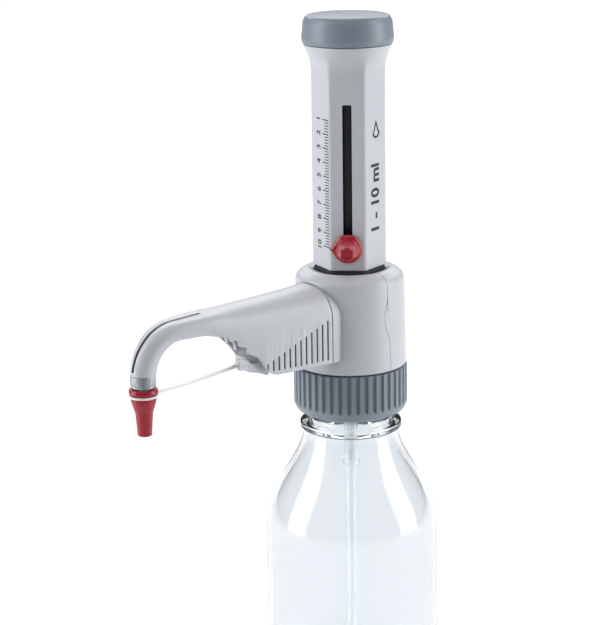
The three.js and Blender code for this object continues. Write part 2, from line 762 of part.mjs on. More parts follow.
function pistonHead() {
  const body = CYLINDER_BORE / 2 - 2 * SEAL_RIB;
  const lip = CYLINDER_BORE / 2 - SEAL_RIB / 2;
  const shape = turned([
    [0, pistonBottom],
    [body - 1.5, pistonBottom],
    [lip, pistonBottom + 0.6],
    [lip, pistonBottom + 1.6],
    [body, pistonBottom + 2.4],
    [body, pistonTop - 3],
    [lip, pistonTop - 2.2],
    [lip, pistonTop - 1.2],
    [body - 0.5, pistonTop],
    [0, pistonTop],
  ], 24);
  return piece("piston_head", shape, "fluoropolymer");
}

// ---------------------------------------------------------------- volume pointer

const pointerBack = sleeveFace + GAP;
const pointerFront = pointerBack + POINTER_THICKNESS;
const clampInner = guideOuter + GAP;
const clampOuter = clampInner + CLAMP_THICKNESS;

function teardrop() {
  const shape = new THREE.Shape();
  const tangent = Math.acos(POINTER_RADIUS / POINTER_TIP);
  shape.absarc(0, 0, POINTER_RADIUS, -Math.PI + tangent, Math.PI - tangent);
  shape.lineTo(-POINTER_TIP, 0);
  shape.closePath();
  return shape;
}

function volumePointer() {
  const plate = prism(teardrop(), pointerBack, pointerFront, "x", 20);
  const shankWidth = SLOT_WIDTH - 2 * GAP;
  const shankFrom = clampOuter + GAP;
  const shankLength = pointerBack + 0.5 - shankFrom;
  const shank = block(shankLength, shankWidth, 6, shankFrom + shankLength / 2, 0, 0);
  const screwHole = turnedAlongX([
    [0, shankFrom - 1],
    [KNOB_SCREW / 2 + GAP, shankFrom - 1],
    [KNOB_SCREW / 2 + GAP, pointerFront + 1],
    [0, pointerFront + 1],
  ], 24);
  return piece("volume_pointer", plate.add(shank).subtract(screwHole), "redPlastic");
}

function pointerClamp() {
  const middle = (clampInner + clampOuter) / 2;
  const plate = block(CLAMP_THICKNESS, CLAMP_WIDTH, CLAMP_HEIGHT, middle, 0, 0);
  const curve = rod(guideOuter + GAP, -CLAMP_HEIGHT, CLAMP_HEIGHT, 48);
  return piece("pointer_clamp", plate.subtract(curve), "blackPlastic");
}

function pointerKnob() {
  const back = pointerFront + GAP;
  const front = back + KNOB_LENGTH;
  const screwStart = clampOuter + GAP;
  const grip = turnedAlongX([
    [0, back],
    [KNOB_BASE / 2, back],
    [KNOB_BASE / 2, back + 1.2],
    [KNOB_FRONT / 2 + 0.5, front - 0.6],
    [KNOB_FRONT / 2, front],
    [0, front],
  ], 2 * KNOB_SIDES);
  const screw = turnedAlongX([
    [0, screwStart],
    [KNOB_SCREW / 2, screwStart],
    [KNOB_SCREW / 2, back + 0.5],
    [0, back + 0.5],
  ], 16);
  return piece("pointer_knob", grip.add(screw), "redPlastic");
}

// ---------------------------------------------------------------- housing shells

function housingProfile(inset, top) {
  const foot = HOUSING_FOOT_RADIUS - inset;
  return [
    [0, inset ? -1 : 0],
    [foot, inset ? -1 : 0],
    [foot - 0.67, HOUSING_SHOULDER - 4],
    [foot - 0.9, HOUSING_SHOULDER],
    [foot - 1.4, HOUSING_SHOULDER + 2.4 - inset * 0.6],
    [foot - 3.5, HOUSING_SHOULDER + 4.2 - inset * 0.8],
    [foot - 5, top - 0.8],
    [foot - 7.4, top],
    [0, top],
  ];
}

// The arm's section where it meets the housing: square below and rounded above.
function armSection(halfWidth, bottom, top, corner) {
  const shape = new THREE.Shape();
  shape.moveTo(-halfWidth, bottom);
  shape.lineTo(halfWidth, bottom);
  shape.lineTo(halfWidth, top - corner);
  shape.absarc(halfWidth - corner, top - corner, corner, 0, Math.PI / 2);
  shape.lineTo(corner - halfWidth, top);
  shape.absarc(corner - halfWidth, top - corner, corner, Math.PI / 2, Math.PI);
  shape.closePath();
  return shape;
}

function wholeHousing() {
  const outside = turned(housingProfile(0, HOUSING_TOP), 48);
  const inside = turned(housingProfile(HOUSING_WALL, HOUSING_TOP - ROOF_WALL), 48);
  const opening = prism(handleOutline(SEAT_CORNER + HEX_GAP, SLEEVE_FILLET), 30, HOUSING_TOP + 2)
    .rotate([0, 0, SLOT_AZIMUTH]);
  const half = ARM_ROOT_HALF_WIDTH;
  const collar = prism(
    armSection(half, ARM_BOTTOM, ARM_TOP, ARM_CORNER), -ARM_ROOT, -COLLAR_START, "x",
  );
  const collarBore = prism(
    armSection(half - ARM_WALL, ARM_BOTTOM + ARM_WALL, ARM_TOP - ARM_WALL, ARM_CORNER - ARM_WALL),
    -ARM_ROOT - 1, -COLLAR_START + 1, "x",
  );
  const armBay = prism(
    armSection(half + GAP, ARM_BOTTOM - GAP, ARM_TOP + GAP, ARM_CORNER), -2 * ARM_ROOT, -ARM_ROOT, "x",
  );
  return hollow(outside.add(collar), inside, opening, collarBore, armBay);
}

// The shells' parting line, a shallow S seen from the side.
function partingLine(shift) {
  const top = HOUSING_TOP + 5;
  const share = (part) => HOUSING_TOP * part;
  const wave = new THREE.SplineCurve([
    new THREE.Vector2(2 + shift, -3),
    new THREE.Vector2(1.4 + shift, share(0.3)),
    new THREE.Vector2(-1.6 + shift, share(0.54)),
    new THREE.Vector2(0.5 + shift, share(0.8)),
    new THREE.Vector2(0.5 + shift, top),
  ]);
  return wave.getPoints(16).map((point) => [point.x, point.y]);
}

function housingHalf(side) {
  const far = side * 60;
  const outline = [...partingLine((side * GAP) / 2), [far, HOUSING_TOP + 5], [far, -3]];
  return prism(shapeOf(outline), -60, 60, "y");
}

function frontHousing() {
  const shape = wholeHousing().intersect(housingHalf(-1));
  return piece("front_housing", shape, "palePlastic");
}

function rearHousing() {
  const ventHole = turnedAlongX([[0, 15], [VENT_RADIUS, 15], [VENT_RADIUS, 40], [0, 40]])
    .translate([0, 0, VENT_HEIGHT]);
  const shape = wholeHousing().intersect(housingHalf(1)).subtract(ventHole);
  return piece("rear_housing", shape, "palePlastic");
}

function ventPlug() {
  const face = HOUSING_FOOT_RADIUS;
  const shape = turnedAlongX([
    [0, face - HOUSING_WALL - 0.8],
    [VENT_RADIUS - GAP, face - HOUSING_WALL - 0.8],
    [VENT_RADIUS - GAP, face + GAP],
    [VENT_RADIUS + 0.9, face + GAP],
    [VENT_RADIUS + 0.9, face + 1.1],
    [VENT_RADIUS + 0.4, face + 1.6],
    [0, face + 1.6],
  ]).translate([0, 0, VENT_HEIGHT]);
  return piece("vent_plug", shape, "slatePlastic");
}

function sleeveSeat() {
  const outline = handleOutline(SEAT_CORNER, SLEEVE_FILLET);
  const collar = prism(outline, Math.max(seatBottom, blockTop + GAP), SLEEVE_BOTTOM - 0.4);
  const bore = rod(guideOuter + SEAT_BORE_GAP, 0, SLEEVE_BOTTOM + 1, 48);
  const shape = collar.subtract(bore).rotate([0, 0, SLOT_AZIMUTH]);
  return piece("sleeve_seat", shape, "darkPlastic");
}

// ---------------------------------------------------------------- discharge arm

// Half the arm's width at a distance from the bottle's axis, less the wall where it is hollow.
function armHalfWidth(reach, inset) {
  const end = ARM_REACH + NOZZLE_RADIUS;
  const share = THREE.MathUtils.clamp((reach - ARM_ENTRY) / (end - ARM_ENTRY), 0, 1);
  return ARM_ROOT_HALF_WIDTH + (NOZZLE_RADIUS - ARM_ROOT_HALF_WIDTH) * share - inset;
}

// The root section pushed outwards and drawn in to the nozzle's width.
function taperedArm(inset, from, to) {
  const half = ARM_ROOT_HALF_WIDTH - inset;
  const top = ARM_TOP - inset;
  const section = armSection(half, -20, top, ARM_CORNER - inset);
  const settings = { depth: to - from, steps: 10, bevelEnabled: false, curveSegments: 6 };
  const geometry = new THREE.ExtrudeGeometry(section, settings);
  geometry.translate(0, 0, from);
  geometry.applyMatrix4(AXES.x);
  const place = geometry.getAttribute("position");
  for (let i = 0; i < place.count; i++) {
    place.setY(i, (place.getY(i) * armHalfWidth(place.getX(i), inset)) / half);
  }
  return solid(geometry);
}

function arcPoints(centre, radius, fromDegrees, toDegrees, steps) {
  const points = [];
  for (let i = 0; i <= steps; i++) {
    const angle = THREE.MathUtils.degToRad(fromDegrees + ((toDegrees - fromDegrees) * i) / steps);
    points.push([centre[0] + radius * Math.cos(angle), centre[1] + radius * Math.sin(angle)]);
  }
  return points;
}

// The stepped lower edge of the side walls, from the underside back to the root.
function steppedEdge() {
  const run = ARM_OPENING_END - ARM_OPENING_START;
  const rise = ARM_UNDERSIDE - ARM_BOTTOM;
  const at = (along, up) => [ARM_OPENING_START + run * along, ARM_BOTTOM + rise * up];
  return [
    at(1, 1), at(0.81, 0.95), at(0.68, 0.89), at(0.54, 0.8), at(0.53, 0.7),
    at(0.4, 0.64), at(0.39, 0.52), at(0.24, 0.42), at(0.05, 0.03), at(0, 0),
  ];
}

// The arm seen from the side, with its bend round to the nozzle.
function armOutline(root) {
  const inner = 8;
  const endAngle = THREE.MathUtils.radToDeg(Math.asin((NOZZLE_END - bendHeight) / armOuterBend));
  const outside = arcPoints([bendCentre, bendHeight], armOuterBend, 90, endAngle, 12);
  const insideCentre = [ARM_REACH - NOZZLE_RADIUS - inner, ARM_UNDERSIDE - inner];
  const inside = arcPoints(insideCentre, inner, 0, 90, 6);
  return shapeOf([
    [root, ARM_BOTTOM],
    [root, ARM_TOP],
    [root + 35, ARM_TOP - 0.9],
    ...outside,
    [ARM_REACH - NOZZLE_RADIUS, NOZZLE_END],
    ...inside,
    ...steppedEdge(),
  ]);
}

// The room inside the arm, open below, with a roof one wall thick.
function armRoom(root) {
  return shapeOf([
    [root - 1, ARM_BOTTOM - 5],
    [root - 1, ARM_TOP - ARM_WALL],
    [root + 35, ARM_TOP - ARM_WALL - 0.9],
    [ARM_OPENING_END - 1, ARM_TOP - ARM_WALL - 2.6],
    [ARM_OPENING_END - 3, ARM_UNDERSIDE - 3],
    [ARM_OPENING_END - 3, ARM_BOTTOM - 5],
  ]);
}

// Shallow grip grooves on the side wall that faces -Y, longer towards the root.
function armGrooves() {
  let grooves = null;
  for (let i = 0; i < GROOVE_COUNT; i++) {
    const reach = ARM_ROOT + 2.6 + i * GROOVE_PITCH;
    const share = i / (GROOVE_COUNT - 1);
    const bottom = ARM_BOTTOM + 2.2;
    const top = bottom + GROOVE_SHORTEST + (GROOVE_LONGEST - GROOVE_SHORTEST) * (1 - share);
    for (const side of [-1, 1]) {
      const y = side * armHalfWidth(reach, 0);
      const bar = block(GROOVE_WIDTH, 2 * GROOVE_DEPTH, top - bottom, reach, y, (top + bottom) / 2);
      grooves = grooves ? grooves.add(bar) : bar;
    }
  }
  return grooves;
}

// Two short ribs that hang from the roof and hold the tube, the outer one shorter.
function tubeRibs(form) {
  const inner = block(RIB_THICKNESS, RIB_WIDTH, 40, INNER_RIB_REACH, RIB_SHIFT, INNER_RIB_BOTTOM + 20);
  const outer = block(RIB_THICKNESS, RIB_WIDTH, 40, OUTER_RIB_REACH, RIB_SHIFT, OUTER_RIB_BOTTOM + 20);
  const passage = turnedAlongX([
    [0, INNER_RIB_REACH - 5],
    [DISCHARGE_TUBE_OUTER / 2 + 2 * GAP, INNER_RIB_REACH - 5],
    [DISCHARGE_TUBE_OUTER / 2 + 2 * GAP, OUTER_RIB_REACH + 5],
    [0, OUTER_RIB_REACH + 5],
  ]).translate([0, 0, OUTLET_HEIGHT]);
  return inner.add(outer).intersect(form).subtract(passage);
}

function dischargeArm() {
  const root = ARM_ROOT + GAP;
  const form = taperedArm(0, root - 1, ARM_REACH + NOZZLE_RADIUS + 1);
  const body = form.intersect(prism(armOutline(root), -30, 30, "y"));
  const room = taperedArm(ARM_WALL, root - 3, ARM_OPENING_END + 2)
    .intersect(prism(armRoom(root), -30, 30, "y"));
  const channel = sweptTube(
    dischargeRoute(ARM_OPENING_END - 8, bendHeight - 2), DISCHARGE_TUBE_OUTER / 2 + 2 * GAP, 12,
  );
  const ring = arcPoints([bendCentre, bendHeight], armOuterBend + 2, 90, 6, 10);
  const slotSide = shapeOf([
    ...ring,
    ...arcPoints([bendCentre, bendHeight], BEND_RADIUS, 6, 90, 10),
    [ARM_OPENING_END - 2, OUTLET_HEIGHT],
    [ARM_OPENING_END - 2, OUTLET_HEIGHT + 12],
  ]);
  const slot = prism(slotSide, -TUBE_SLOT_WIDTH / 2, TUBE_SLOT_WIDTH / 2, "y");
  const shell = hollow(body, room, channel, slot, armGrooves());
  return piece("discharge_arm", shell.add(tubeRibs(body)), "palePlastic");
}

// The bridge inside the arm's opening that carries the tether's pin.
function tetherBracket() {
  const width = armHalfWidth(PIN_REACH - 6, ARM_WALL) - GAP;
  const pin = [PIN_REACH, PIN_HEIGHT];
  const saddle = shapeOf([
    [pin[0] - 10, pin[1] - 5.6],
    [pin[0] - 3.9, pin[1] - 3],
    [pin[0] + 2.5, pin[1] - 1.4],
    [pin[0] + 2.5, pin[1] + 4.6],
    [pin[0] + 1, pin[1] + 2.6],
    [pin[0] - 1.5, pin[1] + 1.9],
    [pin[0] - 5, pin[1] + 3],
    [pin[0] - 9, pin[1] + 6],
  ]);
  const bridge = prism(saddle, -width + 2, width - 2, "y");
  const lugStart = STRAP_WIDTH / 2 + GAP + 0.2;
  const bay = block(40, 40, 30, pin[0] + 20 - EYE_RADIUS - 2 * GAP, lugStart - 20, pin[1]);
  const hole = prism(new THREE.Shape().absarc(...pin, PIN_RADIUS + 0.1, 0, 2 * Math.PI), -30, 30, "y");
  const shape = hollow(bridge, bay, hole);
  return piece("tether_bracket", shape, "palePlastic");
}

function tetherPin() {
  const circle = new THREE.Shape().absarc(PIN_REACH, PIN_HEIGHT, PIN_RADIUS, 0, 2 * Math.PI);
  return piece("tether_pin", prism(circle, -STRAP_WIDTH / 2 - 0.8, STRAP_WIDTH / 2 + 4, "y"), "steel");
}

// ---------------------------------------------------------------- tether and screw cap

function tether() {
  const ringInner = SCREW_BODY_RADIUS + GAP;
  const ringOuter = SCREW_FLANGE_RADIUS + 0.1;
  const low = ringMiddle - RING_THICKNESS / 2;
  const ring = tubeOf(ringOuter, ringInner, low, low + RING_THICKNESS, 24).translate([ARM_REACH, 0, 0]);
  const half = STRAP_THICKNESS / 2;
  const near = [PIN_REACH + EYE_RADIUS - 0.6, PIN_HEIGHT];
  const far = [ARM_REACH - ringInner - 0.3, ringMiddle];
  const sag = [(near[0] + far[0]) / 2, (near[1] + far[1]) / 2 - 1];
  const middle = new THREE.QuadraticBezierCurve(
    new THREE.Vector2(...near), new THREE.Vector2(...sag), new THREE.Vector2(...far),
  ).getPoints(8);
  const above = middle.map((point) => [point.x, point.y + half]);
  const below = middle.map((point) => [point.x, point.y - half]);
  const strap = prism(
    shapeOf([...above, ...below.reverse()]), -STRAP_WIDTH / 2, STRAP_WIDTH / 2, "y",
  );
  const eye = new THREE.Shape().absarc(PIN_REACH, PIN_HEIGHT, EYE_RADIUS, 0, 2 * Math.PI);
  const boss = prism(eye, -STRAP_WIDTH / 2, STRAP_WIDTH / 2, "y", 14);
  const hole = new THREE.Shape().absarc(PIN_REACH, PIN_HEIGHT, PIN_RADIUS + GAP, 0, 2 * Math.PI);
  const bore = prism(hole, -STRAP_WIDTH, STRAP_WIDTH, "y", 12);
  const capHole = rod(ringInner, low - 2, low + 4, 24).translate([ARM_REACH, 0, 0]);
  return piece("cap_tether", hollow(ring.add(strap).add(boss), bore, capHole), "fluoropolymer");
}

function screwCap() {
  const flangeBottom = screwTop - SCREW_FLANGE_HEIGHT;
  const bodyEnd = flangeBottom - SCREW_BODY_END;
  const stemTop = bodyEnd - 5.6;
  const end = screwTop - SCREW_LENGTH;
  const bore = SCREW_BORE / 2;
  const shape = turned([
    [0, end],
    [SCREW_END_RADIUS - 1, end],
    [SCREW_END_RADIUS, end + 1],
    [SCREW_STEM_RADIUS, stemTop],
    [SCREW_BODY_RADIUS - 0.5, bodyEnd - 1.6],
    [SCREW_BODY_RADIUS, bodyEnd],
    [SCREW_BODY_RADIUS, flangeBottom],
    [SCREW_FLANGE_RADIUS - 0.3, flangeBottom],
    [SCREW_FLANGE_RADIUS, flangeBottom + 0.5],
    [SCREW_FLANGE_RADIUS - 0.1, screwTop - 0.5],
    [SCREW_FLANGE_RADIUS - 0.7, screwTop],
    [bore, screwTop],
    [bore - 0.3, bodyEnd],
    [SCREW_STEM_RADIUS - 1.5, stemTop],
    [SCREW_STEM_RADIUS - 2, end + 4],
    [0, end + 3],
  ], 24).translate([ARM_REACH, 0, 0]);
  return piece("screw_cap", shape, "redPlastic");
}

// ---------------------------------------------------------------- the assembly

function grouped(...children) {
  const group = new THREE.Group();
  group.add(...children);
  return group;
}

const fillingBall = ball("filling_valve_ball", FILL_BALL);
fillingBall.position.z = fillBallHeight;

const dischargeBall = ball("discharge_valve_ball", DISCHARGE_BALL);
dischargeBall.position.set(dischargeBallReach, 0, OUTLET_HEIGHT);

const arm = grouped(
  dischargeValve(),
  dischargeBall,
  dischargeSpring(),
  dischargeTube(),
  nozzleSleeve(),
  dischargeArm(),
  tetherBracket(),
  tetherPin(),
  tether(),
  screwCap(),
);
arm.rotation.z = Math.PI;

const pointer = grouped(volumePointer(), pointerClamp(), pointerKnob());
pointer.position.z = POINTER_HEIGHT;

const pump = grouped(
  handleSleeve(),
  topCap(),
  calibrationNut(),
  pistonRod(),
  pistonHead(),
  pointer,
);
pump.rotation.z = THREE.MathUtils.degToRad(SLOT_AZIMUTH);

const dispenser = grouped(
  bottleSeal(),
  threadRing(),
  swivelWasher(),
  valveBlock(),
  fillingValveSeat(),
  fillingBall,
  upperFillingTube(),
  lowerFillingTube(),
  glassCylinder(),
  guideTube(),
  frontHousing(),
  rearHousing(),
  ventPlug(),
  sleeveSeat(),
  arm,
  pump,
);
dispenser.position.z = seamHeight;

export default grouped(bottle(), dispenser);
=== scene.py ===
# A hand-pumped bottle-top dispenser on a clear laboratory bottle.
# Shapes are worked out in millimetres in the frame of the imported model, and written in metres.
import json
import math

import bmesh
import bpy
from mathutils import Matrix, Vector


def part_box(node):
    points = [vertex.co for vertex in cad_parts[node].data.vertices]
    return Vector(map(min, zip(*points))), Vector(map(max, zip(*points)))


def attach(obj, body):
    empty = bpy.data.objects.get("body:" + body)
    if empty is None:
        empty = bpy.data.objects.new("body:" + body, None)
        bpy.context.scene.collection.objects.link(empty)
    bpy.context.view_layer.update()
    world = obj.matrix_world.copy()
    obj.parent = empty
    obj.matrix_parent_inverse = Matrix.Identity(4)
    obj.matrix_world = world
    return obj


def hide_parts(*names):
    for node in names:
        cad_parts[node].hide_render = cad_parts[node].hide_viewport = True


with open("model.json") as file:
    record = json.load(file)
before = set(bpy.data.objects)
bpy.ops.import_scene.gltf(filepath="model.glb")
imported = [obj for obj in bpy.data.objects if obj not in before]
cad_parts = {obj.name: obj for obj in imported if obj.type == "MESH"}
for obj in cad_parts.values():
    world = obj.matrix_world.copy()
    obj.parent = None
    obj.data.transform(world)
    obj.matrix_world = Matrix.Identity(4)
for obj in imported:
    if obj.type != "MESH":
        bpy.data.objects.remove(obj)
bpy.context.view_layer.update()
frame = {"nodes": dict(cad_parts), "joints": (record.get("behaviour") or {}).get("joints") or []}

MM = 0.001
FULL_TURN = 2 * math.pi

# ---------- places from the frame


def box_mm(node):
    """The low and high corner of a CAD node's box, in millimetres."""
    low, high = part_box(node)
    return low / MM, high / MM


bottle_high = box_mm("bottle")[1]
ring_low, ring_high = box_mm("thread_ring")
sleeve_low, sleeve_high = box_mm("handle_sleeve")
cap_low, cap_high = box_mm("top_cap")
screw_low, screw_high = box_mm("screw_cap")
end_low, end_high = box_mm("nozzle_sleeve")
guide_low, guide_high = box_mm("guide_tube")
seat_low, seat_high = box_mm("sleeve_seat")
pin_low, pin_high = box_mm("tether_pin")
pin_middle = (pin_low + pin_high) / 2
pointer_low, pointer_high = box_mm("volume_pointer")
seam = box_mm("front_housing")[0].z
arm_reach = -(screw_low.x + screw_high.x) / 2
slot_axis = next(joint["axis"] for joint in frame["joints"] if joint["name"] == "knob_turn")
slot_azimuth = math.degrees(math.atan2(slot_axis[1], slot_axis[0]))
pointer_height = (pointer_low.z + pointer_high.z) / 2

# ---------- outlines


def fillet(points, closed=True, steps=6):
    """Rounds each (x, y, radius) corner of an outline with an arc of that radius."""
    made = []
    count = len(points)
    for i, (x, y, radius) in enumerate(points):
        if radius <= 0 or (not closed and i in (0, count - 1)):
            made.append((x, y))
            continue
        corner = Vector((x, y))
        before = Vector(points[i - 1][:2]) - corner
        after = Vector(points[(i + 1) % count][:2]) - corner
        half = before.angle(after) / 2
        reach = min(radius / math.tan(half), before.length * 0.49, after.length * 0.49)
        start = corner + before.normalized() * reach
        end = corner + after.normalized() * reach
        for k in range(steps + 1):
            t = k / steps
            mixed = start * (1 - t) ** 2 + corner * 2 * t * (1 - t) + end * t ** 2
            made.append((mixed.x, mixed.y))
    return made


def rounded_box(left, right, low, high, radius=0, steps=6):
    """A rectangle with equal rounds in its corners, or none."""
    corners = [(left, low), (right, low), (right, high), (left, high)]
    return fillet([(*corner, radius) for corner in corners], steps=steps)


def subdivided(outline, longest, closed=True):
    """Adds points so that no side of an outline is longer than a length."""
    made = []
    for (x, y), (next_x, next_y) in zip(outline, outline[1:] + outline[:1] * closed):
        parts = max(1, math.ceil(math.hypot(next_x - x, next_y - y) / longest))
        made += [(x + (next_x - x) * k / parts, y + (next_y - y) * k / parts) for k in range(parts)]
    return made if closed else made + outline[-1:]


def smooth_step(share):
    share = min(max(share, 0.0), 1.0)
    return share * share * (3 - 2 * share)


def around_z(radius, angle, height):
    """A point at a distance from the Z axis, at an angle round it and at a height."""
    return radius * math.cos(angle), radius * math.sin(angle), height


def polar(outline, angle):
    """How far a closed outline around the origin lies from it at an angle."""
    ray = Vector((math.cos(angle), math.sin(angle)))
    for i, (x, y) in enumerate(outline):
        start = Vector((x, y))
        side = Vector(outline[(i + 1) % len(outline)]) - start
        across = ray.x * side.y - ray.y * side.x
        if abs(across) < 1e-9:
            continue
        reach = (start.x * side.y - start.y * side.x) / across
        along = (start.x * ray.y - start.y * ray.x) / across
        if reach > 0 and -1e-6 <= along <= 1 + 1e-6:
            return reach
    return 0.0


FRONT_HALF_ANGLE = 28.5  # degrees from the handle's front face to its first corner


def handle_outline(corner, rounding):
    """The handle's six-sided section, its front face towards +X."""
    front = FRONT_HALF_ANGLE
    angles = [math.radians(a) for a in (front, 90, 180 - front, 180 + front, 270, 360 - front)]
    return fillet([(corner * math.cos(a), corner * math.sin(a), rounding) for a in angles], steps=8)


# ---------- meshes


def turned_mesh(profile, segments=96):
    """Vertices and faces of a profile of (radius, height) turned about Z.
    The profile starts and ends on the axis, or closes on itself."""
    verts, faces, rings = [], [], []
    for radius, height in profile:
        if radius < 1e-6:
            rings.append([len(verts)])
            verts.append((0, 0, height))
            continue
        rings.append(list(range(len(verts), len(verts) + segments)))
        verts += [around_z(radius, FULL_TURN * i / segments, height) for i in range(segments)]
    pairs = list(zip(rings, rings[1:]))
    if len(rings[0]) > 1:
        pairs.append((rings[-1], rings[0]))
    for lower, upper in pairs:
        for i in range(segments):
            j = (i + 1) % segments
            corners = [lower[i % len(lower)], lower[j % len(lower)],
                       upper[j % len(upper)], upper[i % len(upper)]]
            face = list(dict.fromkeys(corners))
            if len(face) > 2:
                faces.append(face)
    return verts, faces


def lofted_mesh(rings, ends="cap"):
    """Vertices and faces through rings of equal count: ends are capped, or joined to each other."""
    count = len(rings[0])
    verts = [tuple(point) for ring in rings for point in ring]
    faces = []
    last = len(rings) if ends == "join" else len(rings) - 1
    for k in range(last):
        for i in range(count):
            j = (i + 1) % count
            upper = ((k + 1) % len(rings)) * count
            faces.append((k * count + i, k * count + j, upper + j, upper + i))
    if ends == "cap":
        faces.append(tuple(reversed(range(count))))
        faces.append(tuple(range((len(rings) - 1) * count, len(rings) * count)))
    return verts, faces


def moved(shape, degrees=0, shift=(0, 0, 0), axis="Z"):
    """The same mesh turned about an axis and then shifted."""
    verts, faces = shape
    place = Matrix.Translation(shift) @ Matrix.Rotation(math.radians(degrees), 4, axis)
    return [tuple(place @ Vector(v)) for v in verts], faces


def joined(*shapes):
    """Several meshes as one, without welding them."""
    verts, faces = [], []
    for more_verts, more_faces in shapes:
        base = len(verts)
        verts += more_verts
        faces += [tuple(base + i for i in face) for face in more_faces]
    return verts, faces


def rod(radius, start, end, segments, about=None):
    """A plain round bar up Z, or laid over by a quarter turn about another axis."""
    shape = turned_mesh([(0, start), (radius, start), (radius, end), (0, end)], segments)
    return moved(shape, 90, axis=about) if about else shape


def along_x(sections):
    """A loft through (x, outline) pairs, each outline of (y, z)."""
    return lofted_mesh([[(x, y, z) for y, z in outline] for x, outline in sections])


def across_arm(outline, near, far):
    """An outline of (distance from the axis, height above the seam) drawn across the arm."""
    return lofted_mesh([[(-s, y, seam + z) for s, z in outline] for y in (near, far)])


def fitted(thing, **values):
    """Sets several attributes of a thing at once."""
    for key, value in values.items():
        setattr(thing, key, value)
    return thing


def add_object(name, data):
    made = bpy.data.objects.new(name, data)
    bpy.context.scene.collection.objects.link(made)
    return made


def worked_out(thing):
    """The mesh that an object's modifiers or text come to."""
    bpy.context.view_layer.update()
    graph = bpy.context.evaluated_depsgraph_get()
    return bpy.data.meshes.new_from_object(thing.evaluated_get(graph))


def mesh_object(name, shape):
    verts, faces = shape
    mesh = bpy.data.meshes.new(name)
    mesh.from_pydata([Vector(v) * MM for v in verts], [], faces)
    work = bmesh.new()
    work.from_mesh(mesh)
    bmesh.ops.recalc_face_normals(work, faces=work.faces)
    work.to_mesh(mesh)
    work.free()
    return add_object(name, mesh)


def cut(piece, tools, operation="DIFFERENCE"):
    """Applies booleans with the given meshes, one after another."""
    for shape in tools:
        tool = mesh_object("tool", shape)
        step = piece.modifiers.new("cut", "BOOLEAN")
        fitted(step, object=tool, operation=operation, solver="EXACT")
        apply_modifiers(piece)
        bpy.data.objects.remove(tool)


def apply_modifiers(piece):
    mesh = worked_out(piece)
    piece.modifiers.clear()
    piece.data = mesh


def soften(piece, width=0.25, segments=2, angle=35):
    """Rounds the sharp edges a little, as a mould leaves them."""
    step = piece.modifiers.new("edge", "BEVEL")
    fitted(step, width=width * MM, segments=segments, limit_method="ANGLE",
           angle_limit=math.radians(angle), use_clamp_overlap=True)
    apply_modifiers(piece)


def finished(piece, material, body, node=None, sharp=35):
    """Gives a piece its shading, material and body, and hides the CAD node that it stands for."""
    piece.data.materials.clear()
    piece.data.materials.append(material)
    for face in piece.data.polygons:
        face.use_smooth = True
        face.material_index = 0
    piece.data.set_sharp_from_angle(angle=math.radians(sharp))
    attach(piece, body)
    if node:
        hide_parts(node)


# ---------- materials


def colour(code):
    """An sRGB hex colour as linear RGBA."""
    parts = [int(code[i:i + 2], 16) / 255 for i in (1, 3, 5)]
    linear = [c / 12.92 if c <= 0.04045 else ((c + 0.055) / 1.055) ** 2.4 for c in parts]
    return (*linear, 1.0)


def settle(tree, node, links=None, **settings):
    """Sets a node's attributes and inputs, and links its inputs to other sockets."""
    for key, value in settings.items():
        if hasattr(node, key):
            setattr(node, key, value)
        else:
            node.inputs[key.replace("_", " ")].default_value = value
    for key, socket in (links or {}).items():
        tree.links.new(socket, node.inputs[key])
    return node


def add_node(tree, kind, links=None, **settings):
    return settle(tree, tree.nodes.new(kind), links, **settings)


def noise(tree, place, size_mm, **settings):
    """Noise whose features are about so many millimetres across."""
    made = add_node(tree, "ShaderNodeTexNoise", {"Vector": place}, Scale=1000 / size_mm, **settings)
    return made.outputs["Fac"]


def bumps(tree, height, strength, depth_mm):
    made = add_node(tree, "ShaderNodeBump", {"Height": height}, Strength=strength, Distance=depth_mm * MM)
    return made.outputs[0]


def spread(tree, share, low, high):
    """A value from low to high, as a noise goes from 0 to 1."""
    return add_node(tree, "ShaderNodeMapRange", {"Value": share}, To_Min=low, To_Max=high).outputs[0]


def two_tones(tree, share, first, second):
    tone = add_node(tree, "ShaderNodeValToRGB", {"Fac": share})
    for element, code in zip(tone.color_ramp.elements, (first, second)):
        element.color = colour(code)
    return tone.outputs[0]


def new_material(name):
    material = bpy.data.materials.new(name)
    material.use_nodes = True
    tree = material.node_tree
    tree.nodes.clear()
    shader = add_node(tree, "ShaderNodeBsdfPrincipled")
    add_node(tree, "ShaderNodeOutputMaterial", {"Surface": shader.outputs[0]})
    return material, tree, shader, add_node(tree, "ShaderNodeTexCoord").outputs["Object"]


def moulded(name, base, shade, roughness, grain_mm, depth_mm, ior=1.49, subsurface=0.0):
    """A moulded plastic: a fine even texture from the mould, slight changes of tone and gloss, and painted
    shade in its hollows.
    """
    material, tree, shader, place = new_material(name)
    # Slow drift of tone and gloss over some 30 mm, as a filled plastic has where it flowed.
    drift = noise(tree, place, 30, Detail=2.0)
    tone = add_node(tree, "ShaderNodeMix", {"Factor": drift}, data_type="RGBA")
    tone.inputs[6].default_value = colour(base)
    tone.inputs[7].default_value = colour(shade)
    # Painted shade: an occlusion term darkens the colour in hollows, grooves and seams, where shade falls,
    # over some 10 mm.
    tone_with_painted_shade = add_node(tree, "ShaderNodeAmbientOcclusion", {"Color": tone.outputs[2]},
                      samples=4, only_local=True, Distance=10 * MM)
    # The mould's texture, drawn at its real grain.
    grain = noise(tree, place, grain_mm, Detail=3.0, Roughness=0.6)
    settle(tree, shader, {
        "Base Color": tone_with_painted_shade.outputs["Color"], "Normal": bumps(tree, grain, 0.5, depth_mm),
        "Roughness": spread(tree, drift, roughness - 0.05, roughness + 0.05),
    }, IOR=ior, Subsurface_Weight=subsurface, Subsurface_Radius=(0.002, 0.0015, 0.0012))
    return material


